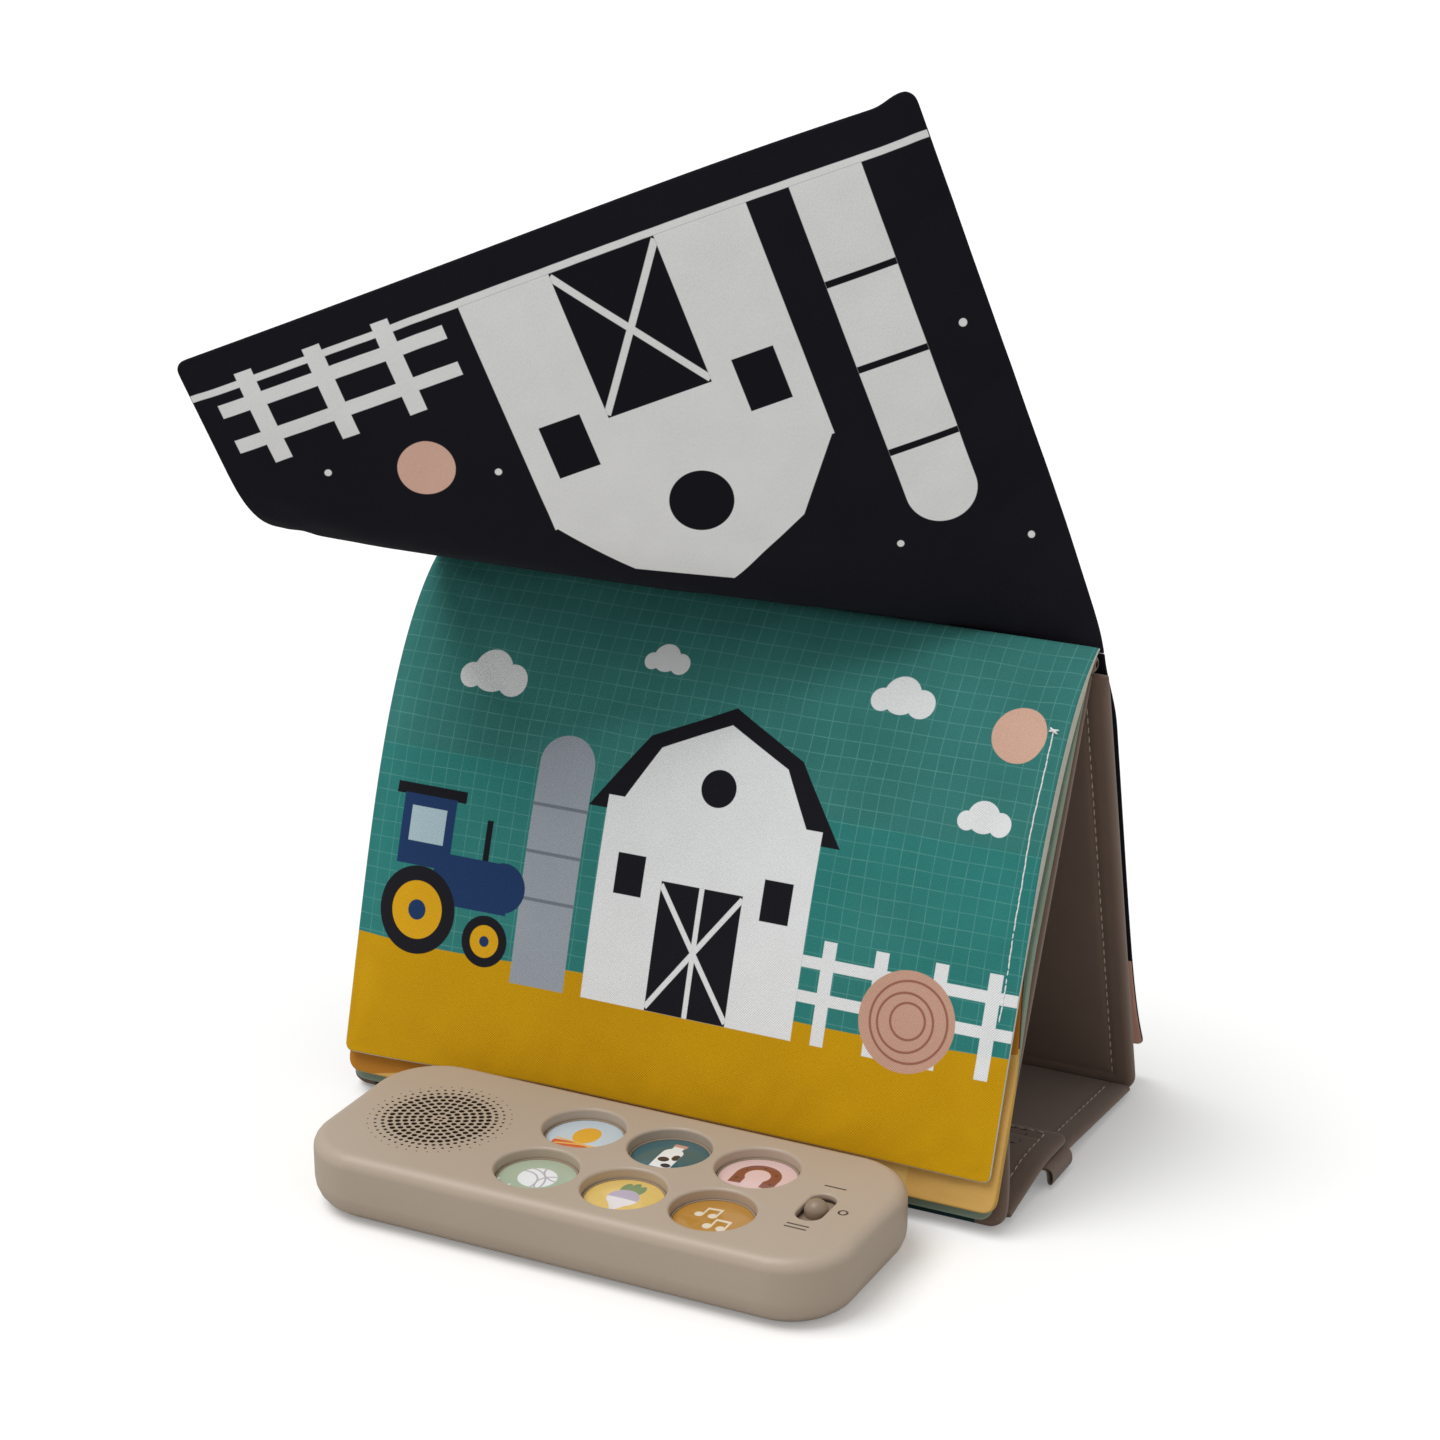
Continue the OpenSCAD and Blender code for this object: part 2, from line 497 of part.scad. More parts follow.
module button_cap_2() button_cap(cell_x[1]);
module button_cap_3() button_cap(cell_x[2]);
module button_cap_4() button_cap(cell_x[3]);
module button_cap_5() button_cap(cell_x[4]);
module button_cap_6() button_cap(cell_x[5]);
module picture_disc_1() picture_disc(cell_x[0], [0.62, 0.68, 0.58]);
module picture_disc_2() picture_disc(cell_x[1], [0.9, 0.75, 0.4]);
module picture_disc_3() picture_disc(cell_x[2], [0.75, 0.52, 0.15]);
module picture_disc_4() picture_disc(cell_x[3], [0.78, 0.85, 0.9]);
module picture_disc_5() picture_disc(cell_x[4], [0.25, 0.45, 0.47]);
module picture_disc_6() picture_disc(cell_x[5], [0.88, 0.72, 0.68]);

module switch_knob() color([0.62, 0.56, 0.49]) {
  translate([sw_x - slot_w/2 - 1.2, grid_y - slot_l/2 - throw - 1, ceil_z - 1.6])
    cube([slot_w + 2.4, slot_l + 2*throw + 2, 1.4]);
  tube([sw_x, grid_y], 1.9, ceil_z - 0.3, mod_h - 1);
  translate([sw_x, grid_y, mod_h - 1.2]) sphere(r = knob_d/2);
  translate([sw_x - 0.7, grid_y - 1.2, pcb_z + pcb_t + 1.6]) cube([1.4, 2.4, ceil_z - 1.5 - pcb_z - pcb_t - 1.6]);
}

module on_front() translate([cover_x - front_in/2, foot_f, foot_fz]) rotate([slope_f, 0, 0]) children();
module on_rear() translate([cover_x, foot_r, foot_rz]) rotate([slope_r, 0, 0]) children();
module panel(w, l, t) translate([-w/2, 0, -t/2]) cube([w, l, t]);
module front_cover() color([0.42, 0.36, 0.32]) on_front() difference() {
  panel(cover_w - front_in, len_f, cover_t);
  translate([0, 5, 0]) panel(cover_w - front_in - 16, len_f - 13, 2.4);
  translate([-cover_w/2 - 1, len_f - top_cut, -cover_t]) cube([cover_w + 2, top_cut + 1, cover_t]);
}
module front_board() color([0.7, 0.66, 0.6]) on_front() translate([0, 5.2, 0])
  panel(cover_w - front_in - 16.4, len_f - 13.4, 2);
module rear_cover() color([0.42, 0.36, 0.32]) on_rear() difference() {
  panel(cover_w, len_r, cover_t);
  translate([0, 5, 0]) panel(cover_w - 16, len_r - 13, 2.4);
  translate([-cover_w/2 - 1, len_r - top_cut, 0]) cube([cover_w + 2, top_cut + 1, cover_t]);
}
module rear_board() color([0.7, 0.66, 0.6]) on_rear() translate([0, 5.2, 0]) panel(cover_w - 16.4, len_r - 13.4, 2);
module spine_roll() color([0.42, 0.36, 0.32]) translate([tent_x + flare/2 - spine_l/2, ridge_y, ridge_z])
  rotate([0, 90, 0]) cylinder(r = spine_r, h = spine_l);

// Section of a flap: slopes from z0 at y0 to z1 at y1, then level to y2
module strip(y0, z0, y1, z1, y2, t, w) translate([cover_x - w/2, 0, 0]) rotate([90, 0, 90])
  linear_extrude(w) polygon([[y0, z0 - t/2], [y1, z1 - t/2], [y2, z1 - t/2], [y2, z1 + t/2],
    [y1, z1 + t/2], [y0, z0 + t/2]]);
module front_flap() color([0.42, 0.36, 0.32]) difference() {
  strip(flap_fy + 0.6, flap_z, lap_y - lap_h - 2, high_z, lap_y + lap_h, flap_t, flap_w);
  front_insert(1.4, 0);
}
module front_insert(t, k) {
  q = (high_z - flap_z)/(lap_y - lap_h - 2 - flap_fy - 0.6);
  translate([cover_x - flap_w/2 + 8 + k, 0, 0]) rotate([90, 0, 90]) linear_extrude(flap_w - 16 - 2*k)
    polygon([[flap_fy + 6 + k, flap_z + q*(5.4 + k) - t/2], [lap_y - lap_h - 4 - k, high_z - q*(2 + k) - t/2],
      [lap_y - lap_h - 4 - k, high_z - q*(2 + k) + t/2], [flap_fy + 6 + k, flap_z + q*(5.4 + k) + t/2]]);
}
module front_flap_board() color([0.7, 0.66, 0.6]) front_insert(1, 0.2);
module rear_flap() color([0.42, 0.36, 0.32]) difference() {
  strip(flap_ry - 0.6, flap_z, lap_y + lap_h + 2, low_z, lap_y - lap_h, flap_t, flap_w);
  rear_insert(1.4, 0);
}
module rear_insert(t, k) {
  q = (low_z - flap_z)/(flap_ry - 0.6 - lap_y - lap_h - 2);
  translate([cover_x - flap_w/2 + 8 + k, 0, 0]) rotate([90, 0, 90]) linear_extrude(flap_w - 16 - 2*k)
    polygon([[flap_ry - 6 - k, flap_z + q*(5.4 + k) - t/2], [lap_y + lap_h + 4 + k, low_z - q*(2 + k) - t/2],
      [lap_y + lap_h + 4 + k, low_z - q*(2 + k) + t/2], [flap_ry - 6 - k, flap_z + q*(5.4 + k) + t/2]]);
}
module rear_flap_board() color([0.7, 0.66, 0.6]) rear_insert(1, 0.2);
module hook_patch() color([0.3, 0.26, 0.23]) for (x = [-1, 1])
  translate([cover_x + x*(flap_w/2 - 32) - 22, lap_y - patch_w/2, high_z - flap_t/2 - 0.5]) cube([44, patch_w, 0.5]);
module loop_patch() color([0.33, 0.29, 0.25]) for (x = [-1, 1])
  translate([cover_x + x*(flap_w/2 - 32) - 22, lap_y - patch_w/2, low_z + flap_t/2]) cube([44, patch_w, 0.4]);
// Ribbon folded to a loop: its ends lie between the flaps, the loop hangs out at the right
module pull_tab() color([0.42, 0.36, 0.32]) translate([cover_x + flap_w/2, lap_y + 7.5, low_z + flap_t/2])
  rotate([90, 0, 0]) linear_extrude(15) difference() {
    polygon([[-8, 0], [-8, 0.9], [1.2, 0.9], [2.7, 0.3], [3.5, -1.2], [3.5, -3.4], [2.9, -4.8], [2, -5.3],
      [1.1, -4.8], [0.6, -3.4], [0.5, -1.2], [0.5, 0]]);
    polygon([[1.3, -0.2], [2.2, -0.6], [2.7, -1.6], [2.7, -3.3], [2.3, -4.2], [2, -4.4], [1.7, -4.1],
      [1.4, -3.3], [1.3, -1.6]]);
  }

module teal_leaf() color([0.2, 0.44, 0.43]) front_leaf(teal_p);
module teal_wadding() color([0.92, 0.92, 0.9]) front_fill(teal_p, wad_u, wad_v, pocket + slack);
module ochre_leaf() color([0.82, 0.6, 0.28]) front_leaf(ochre_p);
module ochre_wadding() color([0.92, 0.92, 0.9]) front_fill(ochre_p, wad_u, wad_v, pocket + slack);
module sage_leaf() color([0.52, 0.6, 0.52]) front_leaf(sage_p);
module sage_wadding() color([0.92, 0.92, 0.9]) front_fill(sage_p, wad_u, wad_v, pocket + slack);
module turned_leaf() color([0.08, 0.08, 0.1]) difference() {
  between([for (v = turn_v) [for (u = turn_u) turn_pt(u, v, leaf_t(u, v)/2)]],
    [for (v = turn_v) [for (u = turn_u) turn_pt(u, v, -leaf_t(u, v)/2)]]);
  turn_fill(pocket, 0);
}
module turned_wadding() color([0.92, 0.92, 0.9]) turn_fill(pocket + slack, 0.015);
module rear_leaf() color([0.85, 0.66, 0.6]) back_leaf(rear_p[0], rear_p[1], rear_p[2], rear_p[3]);
module rear_wadding() color([0.92, 0.92, 0.9])
  back_fill(rear_p[0], rear_p[1], rear_p[2], rear_p[3], wad_u, wad_v, pocket + slack);

upper_shell();
lower_plate();
shell_screws();
battery_door();
battery_door_screw();
button_cells();
battery_contacts();
circuit_board();
board_screws();
sound_chip();
keypad_mat();
slide_switch();
speaker_gasket();
speaker_basket();
speaker_cone();
speaker_magnet();
speaker_clamp();
speaker_screws();
speaker_leads();
module_tongue();
button_cap_1();
button_cap_2();
button_cap_3();
button_cap_4();
button_cap_5();
button_cap_6();
picture_disc_1();
picture_disc_2();
picture_disc_3();
picture_disc_4();
picture_disc_5();
picture_disc_6();
switch_knob();
front_cover();
front_board();
spine_roll();
rear_cover();
rear_board();
front_flap();
front_flap_board();
hook_patch();
rear_flap();
rear_flap_board();
loop_patch();
pull_tab();
teal_leaf();
teal_wadding();
ochre_leaf();
ochre_wadding();
sage_leaf();
sage_wadding();
turned_leaf();
turned_wadding();
rear_leaf();
rear_wadding();
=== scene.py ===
import math
import bpy
import numpy as np
from mathutils import Matrix, Vector


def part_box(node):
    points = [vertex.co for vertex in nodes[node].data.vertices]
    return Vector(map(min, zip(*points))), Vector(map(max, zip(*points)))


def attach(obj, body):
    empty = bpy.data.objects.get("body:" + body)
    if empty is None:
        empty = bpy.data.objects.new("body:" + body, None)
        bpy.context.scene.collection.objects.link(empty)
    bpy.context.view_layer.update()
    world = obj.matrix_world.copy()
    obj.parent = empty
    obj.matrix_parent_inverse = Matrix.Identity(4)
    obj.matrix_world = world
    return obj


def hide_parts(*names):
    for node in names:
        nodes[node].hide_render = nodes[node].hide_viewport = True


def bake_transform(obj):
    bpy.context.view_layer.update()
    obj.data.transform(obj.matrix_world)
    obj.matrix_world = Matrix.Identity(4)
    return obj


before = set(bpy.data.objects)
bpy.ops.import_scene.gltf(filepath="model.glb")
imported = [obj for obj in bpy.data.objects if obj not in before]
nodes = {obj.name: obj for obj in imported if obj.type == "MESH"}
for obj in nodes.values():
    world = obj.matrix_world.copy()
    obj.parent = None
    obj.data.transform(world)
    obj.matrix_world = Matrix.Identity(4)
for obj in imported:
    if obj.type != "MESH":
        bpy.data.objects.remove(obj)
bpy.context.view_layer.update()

scene = bpy.context.scene
scene.view_settings.view_transform = "Standard"


# Camera: stands in front of the book, a little to its right and above it, as the picture was taken,
# with an 85 mm lens on a square 36 mm frame.
eye = Vector((0.41704, -0.74755, 0.45899))
swing, dip, tilt = (math.radians(a) for a in (26.9755, 19.7946, -0.254))
ahead = Vector((-math.sin(swing) * math.cos(dip), math.cos(swing) * math.cos(dip), -math.sin(dip)))
level = Vector((math.cos(swing), math.sin(swing), 0))
above = level.cross(ahead)
right = level * math.cos(tilt) + above * math.sin(tilt)
upward = above * math.cos(tilt) - level * math.sin(tilt)
camera = bpy.data.objects.new("camera", bpy.data.cameras.new("camera"))
scene.collection.objects.link(camera)
camera.data.lens = 85
camera.data.sensor_width = 36
camera.data.clip_start = 0.05
camera.data.clip_end = 60
camera.matrix_world = Matrix.Translation(eye) @ Matrix((right, upward, -ahead)).transposed().to_4x4()
scene.camera = camera


# Sound module shell: two mouldings in matt beige-taupe plastic with a fine spark grain, screwed
# together from below. The battery door, button caps, clamp ring and switch knob are of the same stuff.
class Dye:
    """One socket of a material's nodes; sums and products on it add Math nodes."""

    def __init__(self, tree, socket):
        self.tree = tree
        self.socket = socket

    def node(self, kind, settings, values, out=0):
        made = self.tree.nodes.new("ShaderNode" + kind)
        for key, value in settings.items():
            setattr(made, key, value)
        for key, value in values.items():
            if isinstance(value, Dye):
                self.tree.links.new(value.socket, made.inputs[key])
            else:
                made.inputs[key].default_value = value
        return Dye(self.tree, made.outputs[out])

    def math(self, operation, *values, clamp=False):
        settings = {"operation": operation, "use_clamp": clamp}
        return self.node("Math", settings, dict(enumerate(values)))

    def __add__(self, other):
        return self.math("ADD", self, other)

    __radd__ = __add__

    def __sub__(self, other):
        return self.math("SUBTRACT", self, other)

    def __rsub__(self, other):
        return self.math("SUBTRACT", other, self)

    def __mul__(self, other):
        return self.math("MULTIPLY", self, other)

    __rmul__ = __mul__

    def __and__(self, other):
        return self.math("MINIMUM", self, other)

    def __or__(self, other):
        return self.math("MAXIMUM", self, other)

    def shift(self, step):
        return self.node("VectorMath", {"operation": "ADD"}, {0: self, 1: step})

    def scale(self, by):
        return self.node("VectorMath", {"operation": "MULTIPLY"}, {0: self, 1: by})

    def noise(self, size, detail=2.0):
        settings = {"noise_dimensions": "3D"}
        return self.node("TexNoise", settings, {"Vector": self, "Scale": 1 / size, "Detail": detail})

    def mix(self, other, share, blend="MIX"):
        settings = {"data_type": "RGBA", "blend_type": blend}
        return self.node("Mix", settings, {0: share, 6: self, 7: other}, out=2)

    def grey(self):
        return self.node("CombineColor", {}, {0: self, 1: self, 2: self})

    def bump(self, strength, depth):
        return self.node("Bump", {}, {"Strength": strength, "Distance": depth, "Height": self})


def shade(code):
    """A colour as it looks on screen, such as b0a08c, turned into light."""
    parts = [int(code[i:i + 2], 16) / 255 for i in (0, 2, 4)]
    return tuple(c / 12.92 if c < 0.04045 else ((c + 0.055) / 1.055) ** 2.4 for c in parts) + (1.0,)


def finish_of(name, constants):
    """A new material, its shader and its coordinates in millimetres on the object at rest."""
    made = bpy.data.materials.new(name)
    made.use_nodes = True
    shader = made.node_tree.nodes["Principled BSDF"]
    for key, value in constants.items():
        shader.inputs[key].default_value = value
    start = Dye(made.node_tree, None)
    place = start.node("TexCoord", {}, {}, out=3).scale((1000, 1000, 1000))
    return made, shader, place


def feed(shader, **values):
    names = {"colour": "Base Color", "rough": "Roughness", "normal": "Normal", "glow": "Emission Color"}
    for key, value in values.items():
        value.tree.links.new(value.socket, shader.inputs[names[key]])


def ink(distance, reach, soft=0.22):
    """Where a distance is below reach: 1 inside, 0 outside."""
    return distance.math("MULTIPLY_ADD", distance, -1 / soft, reach / soft + 0.5, clamp=True)


def spot(p, x, y, r, stretch=1.0):
    """A round or, with stretch, an upright oval mark."""
    centre = (x, y, 0)
    if stretch != 1.0:
        p = p.scale((1, 1 / stretch, 1))
        centre = (x, y / stretch, 0)
    far = p.node("VectorMath", {"operation": "DISTANCE"}, {0: p, 1: centre}, out=1)
    return ink(far, r)


def hoop(p, x, y, r, width):
    far = p.node("VectorMath", {"operation": "DISTANCE"}, {0: p, 1: (x, y, 0)}, out=1)
    return ink((far - r).math("ABSOLUTE", far - r), width / 2)


def block(p, x0, y0, x1, y1):
    """An upright rectangle between two corners."""
    middle = (-(x0 + x1) / 2, -(y0 + y1) / 2, 0)
    away = p.shift(middle)
    away = away.node("VectorMath", {"operation": "ABSOLUTE"}, {0: away})
    split = away.node("SeparateXYZ", {}, {0: away})
    tall = Dye(split.tree, split.socket.node.outputs[1])
    return ink(split, abs(x1 - x0) / 2) & ink(tall, abs(y1 - y0) / 2)


def moulded(name, code, rough, grain=0.12, gloss=0.4, shaded=None):
    """Moulded plastic with a fine grain; shaded marks the hollows where no light gets in, and there dark
    shade is painted into the colour.
    """
    made, shader, place = finish_of(name, {"Specular IOR Level": gloss})
    cloud = place.noise(38, 3)
    spark = place.noise(0.28, 2)
    tint = (cloud * 0.08 + spark * 0.1 + 0.91).grey()
    colour = tint.mix(shade(code), 1.0, "MULTIPLY")
    if shaded:
        # Painted shade: a dark brown laid over the colour in the hollows.
        colour = colour.mix(shade("43362c"), shaded(place))
    feed(shader, colour=colour, rough=cloud * 0.1 + spark * 0.1 + (rough - 0.1),
         normal=(spark + place.noise(0.9, 1) * 0.6).bump(grain, 0.0002))
    return made


def dress(material, *names):
    for name in names:
        slots = nodes[name].data.materials
        slots.clear()
        slots.append(material)


TOP_Z, ROW_Y, SWITCH_X, SPEAKER_X = 21.5, -1, 65.8, -53.7


def painted_hollow_shade(p):
    """Painted shade: the grille holes, the switch's slot and the marks sunk beside it, darkened in colour as
    if shadow falls in them.
    """
    split = p.node("SeparateXYZ", {}, {0: p})
    height = Dye(split.tree, split.socket.node.outputs[2])
    flat = p.scale((1, 1, 0))
    marks = hoop(flat, SWITCH_X + 8, ROW_Y, 1.2, 0.55)
    for y in (11.3, -12.6, -14.4):
        marks = marks | block(flat, SWITCH_X - 3.3, y - 0.3, SWITCH_X + 3.3, y + 0.3)
    slot = ink(height, TOP_Z - 1.5, 0.8) & block(flat, SWITCH_X - 4.6, -10, SWITCH_X + 4.6, 8)
    holes = spot(flat, SPEAKER_X, ROW_Y, 23) & ink(height, TOP_Z - 0.16, 0.1)
    return holes | marks | slot


shell_plastic = moulded("shell_plastic", "bfad9a", 0.48)
cap_plastic = moulded("cap_plastic", "b09b84", 0.5)
knob_plastic = moulded("knob_plastic", "998570", 0.36, 0.05, 0.5)
# The top shell's grille holes, switch slot and sunk marks get painted shade.
dress(moulded("shell_top_plastic", "bfad9a", 0.4, gloss=0.5, shaded=painted_hollow_shade), "upper_shell")
dress(shell_plastic, "lower_plate", "battery_door", "speaker_clamp")
dress(cap_plastic, *[f"button_cap_{i}" for i in range(1, 7)])
dress(knob_plastic, "switch_knob")
polish = bpy.data.node_groups.new("moulded_curves", "GeometryNodeTree")
polish.interface.new_socket("Geometry", in_out="INPUT", socket_type="NodeSocketGeometry")
polish.interface.new_socket("Geometry", in_out="OUTPUT", socket_type="NodeSocketGeometry")
made = {}
for key, kind in (("enter", "NodeGroupInput"), ("weld", "GeometryNodeMergeByDistance"),
                  ("curve", "GeometryNodeSetShadeSmooth"), ("bend", "GeometryNodeInputMeshEdgeAngle"),
                  ("sharp", "FunctionNodeCompare"), ("crease", "GeometryNodeSetShadeSmooth"),
                  ("leave", "NodeGroupOutput")):
    made[key] = polish.nodes.new(kind)
made["weld"].inputs["Distance"].default_value = 0.000002
made["sharp"].inputs[1].default_value = math.radians(28)
made["crease"].domain = "EDGE"
made["crease"].inputs["Shade Smooth"].default_value = False
for a, b in (("enter", "weld"), ("weld", "curve"), ("curve", "crease"), ("crease", "leave")):
    polish.links.new(made[a].outputs[0], made[b].inputs[0])
polish.links.new(made["bend"].outputs[0], made["sharp"].inputs[0])
polish.links.new(made["sharp"].outputs[0], made["crease"].inputs["Selection"])
button_parts = [f"{part}_{i}" for part in ("button_cap", "picture_disc") for i in range(1, 7)]
for name in ("upper_shell", "lower_plate", "switch_knob", *button_parts):
    nodes[name].modifiers.new("curves", "NODES").node_group = polish
    nodes[name].modifiers.new("faces", "WEIGHTED_NORMAL").keep_sharp = True


# Inside the module: a green circuit board with its chip, a silicone keypad under the buttons, a small
# speaker in a ring of screws, and three button cells behind the door. None of it shows from outside.
def metal(name, code, rough):
    made, shader, place = finish_of(name, {"Metallic": 1.0})
    brush = place.scale((1, 9, 9)).noise(1.6, 2)
    feed(shader, colour=(brush * 0.2 + 0.88).grey().mix(shade(code), 1.0, "MULTIPLY"),
         rough=brush * 0.16 + (rough - 0.08), normal=brush.bump(0.08, 0.0001))
    return made


dress(metal("steel", "b9bcc0", 0.35), "shell_screws", "battery_door_screw", "board_screws", "speaker_screws",
      "button_cells", "speaker_basket", "speaker_magnet")
dress(metal("contact_brass", "c9b377", 0.4), "battery_contacts")
dress(moulded("board_green", "2c6b48", 0.45), "circuit_board")
dress(moulded("black_parts", "26262a", 0.6), "sound_chip", "slide_switch", "speaker_cone")
dress(moulded("silicone", "d9d8d0", 0.6), "keypad_mat", "speaker_gasket")
dress(moulded("lead_red", "a5302a", 0.5), "speaker_leads")
dress(moulded("board_grey", "b4a894", 0.8), "front_board", "rear_board", "front_flap_board",
      "rear_flap_board")


# Picture discs: six domed discs of clear gloss plastic over a printed picture, glued into the caps.
# The pictures are plain farm signs on flat colours.
def patch(p, *corners):
    """A shape with straight sides and no hollow, its corners in order."""
    area = sum(a[0] * b[1] - b[0] * a[1] for a, b in zip(corners, corners[1:] + corners[:1]))
    found = None
    for a, b in zip(corners, corners[1:] + corners[:1]):
        run = math.hypot(b[0] - a[0], b[1] - a[1])
        side = math.copysign(1, area) / run
        out = ((b[1] - a[1]) * side, (a[0] - b[0]) * side, 0)
        reach = a[0] * out[0] + a[1] * out[1]
        off = p.node("VectorMath", {"operation": "DOT_PRODUCT"}, {0: p, 1: out}, out=1)
        found = ink(off, reach) if found is None else found & ink(off, reach)
    return found


def bar(p, x0, y0, x1, y1, width):
    """A straight stroke with square ends."""
    run = math.hypot(x1 - x0, y1 - y0)
    sx, sy = -(y1 - y0) / run * width / 2, (x1 - x0) / run * width / 2
    return patch(p, (x0 - sx, y0 - sy), (x1 - sx, y1 - sy), (x1 + sx, y1 + sy), (x0 + sx, y0 + sy))


def printed(first, *layers):
    """Flat colours laid over each other, each through its own mask."""
    colour = shade(first)
    for mask, code in layers:
        settings = {"data_type": "RGBA", "blend_type": "MIX"}
        colour = mask.node("Mix", settings, {0: mask, 6: colour, 7: shade(code)}, out=2)
    return colour


def wool_ball(p):
    ball = spot(p, 0.5, -0.6, 5.6)
    yarn = hoop(p, -4, -4, 5.6, 0.55) | hoop(p, -4, -4, 7.8, 0.55)
    yarn = yarn | hoop(p, 6.5, -3, 5, 0.55) | hoop(p, 6, 5, 5.6, 0.55)
    tail = hoop(p, -6.5, -4.4, 3.2, 0.7) & block(p, -11, -9, -4.6, -4.4)
    return printed("b9c7ad", (ball | tail, "ffffff"), (yarn & ball, "c7bcc4"))


def turnip(p):
    root = spot(p, 0, -0.6, 4.6) | patch(p, (-3.2, -3.6), (0, -8.4), (3.2, -3.6))
    leaf = spot(p, -2, 5.2, 1.3, 2.3) | spot(p, 0.2, 6, 1.3, 2.5) | spot(p, 2.4, 5.2, 1.3, 2.3)
    return printed("f3cf74", (leaf, "7f9b6a"), (root, "f6eeee"), (root & block(p, -6, -1, 6, 5), "c3b4c9"))


def two_notes(p):
    found = None
    for x, y in ((-4.6, 0.6), (0.4, -4.6)):
        heads = spot(p, x, y, 1.35) | spot(p, x + 4, y + 0.2, 1.35)
        stems = block(p, x + 0.75, y, x + 1.35, y + 4.4) | block(p, x + 4.75, y, x + 5.35, y + 4.6)
        beam = bar(p, x + 0.75, y + 4, x + 5.35, y + 4.4, 1.1)
        found = heads | stems | beam if found is None else found | heads | stems | beam
    return printed("c58d31", (found, "f6e6cc"))


def egg_in_nest(p):
    egg = spot(p, 0.4, 0.6, 3.9, 1.3)
    nest = spot(p, 0, -5.6, 7.6, 0.5) & block(p, -9, -10, 9, -4.4)
    straw = bar(p, -7.4, -3.4, 6.6, -5.4, 0.7) | bar(p, -6.4, -6.4, 7.4, -4, 0.7)
    straw = straw | bar(p, -4, -8, 5.6, -6.6, 0.7)
    return printed("cfdfea", (egg, "f0b63a"), (nest, "e2652f"), (straw, "f4c56a"))


def milk_bottle(p):
    body = block(p, -3.1, -7.2, 3.1, 1.4) | spot(p, 0, 1.4, 3.1)
    neck = block(p, -1.6, 2, 1.6, 6.6)
    cap = block(p, -2, 5.8, 2, 7.6)
    label = spot(p, -0.8, -2.6, 1.7, 0.8) | spot(p, 2.2, -0.6, 1.2, 1.4) | spot(p, 1.4, -5.6, 1.5, 0.7)
    return printed("2f6670", (body | neck, "fbfcfc"), (label & body, "2b2731"), (cap, "dfa08a"))


def horseshoe(p):
    open_end = block(p, -2.8, -9, 2.8, -0.6)
    iron = hoop(p, 0, 0, 5.2, 3.1) | block(p, -6.7, -5.6, -3.7, 0) | block(p, 3.7, -5.6, 6.7, 0)
    nails = spot(p, -5.2, -3, 0.5) | spot(p, 5.2, -3, 0.5) | spot(p, -4.6, 2.4, 0.5) | spot(p, 4.6, 2.4, 0.5)
    iron = iron & (1 - open_end)
    iron = iron & (1 - block(p, -9, -9, 9, -5.6))
    return printed("efcdca", (iron, "8b4a3c"), (nails | spot(p, 0, 5.2, 0.5), "5a3426"))


for number, picture in enumerate((wool_ball, turnip, two_notes, egg_in_nest, milk_bottle, horseshoe), 1):
    low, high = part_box(f"picture_disc_{number}")
    made, shader, place = finish_of(f"picture_{number}", {"Coat Weight": 0.7, "Coat Roughness": 0.08})
    face = place.shift((-500 * (low.x + high.x), -500 * (low.y + high.y), 0)).scale((1, 1, 0))
    feed(shader, colour=picture(face), rough=place.noise(6) * 0.1 + 0.28,
         normal=place.noise(9, 1).bump(0.04, 0.0003))
    dress(made, f"picture_disc_{number}")


# Covers: two grey boards, each in a sleeve of taupe polyester twill with a topstitched border. They lean on
# each other at the spine. The front one has a dark teal cloth sewn on its outside, under the leaves.
TENT_X, COVER_X = -5.8, -4.75
RIDGE_Y, RIDGE_Z = 108, 149
COVER_W, COVER_T = 217.4, 4.4
FOOT_F = (45.5, COVER_T / 2 * math.cos(math.atan2(149, 62.5)) + 0.1)
FOOT_R = (146, COVER_T / 2 * 0.28 + 0.1)
SLOPE_F = math.atan2(RIDGE_Z - FOOT_F[1], RIDGE_Y - FOOT_F[0])
SLOPE_R = math.atan2(RIDGE_Z - FOOT_R[1], RIDGE_Y - FOOT_R[0])
SPINE_R = 4.4
FRONT_L = math.hypot(RIDGE_Z - FOOT_F[1], RIDGE_Y - FOOT_F[0]) - SPINE_R - 0.5
REAR_L = math.hypot(RIDGE_Z - FOOT_R[1], RIDGE_Y - FOOT_R[0]) - SPINE_R - 0.5


def unit(a):
    return a / np.linalg.norm(a, axis=-1, keepdims=True)


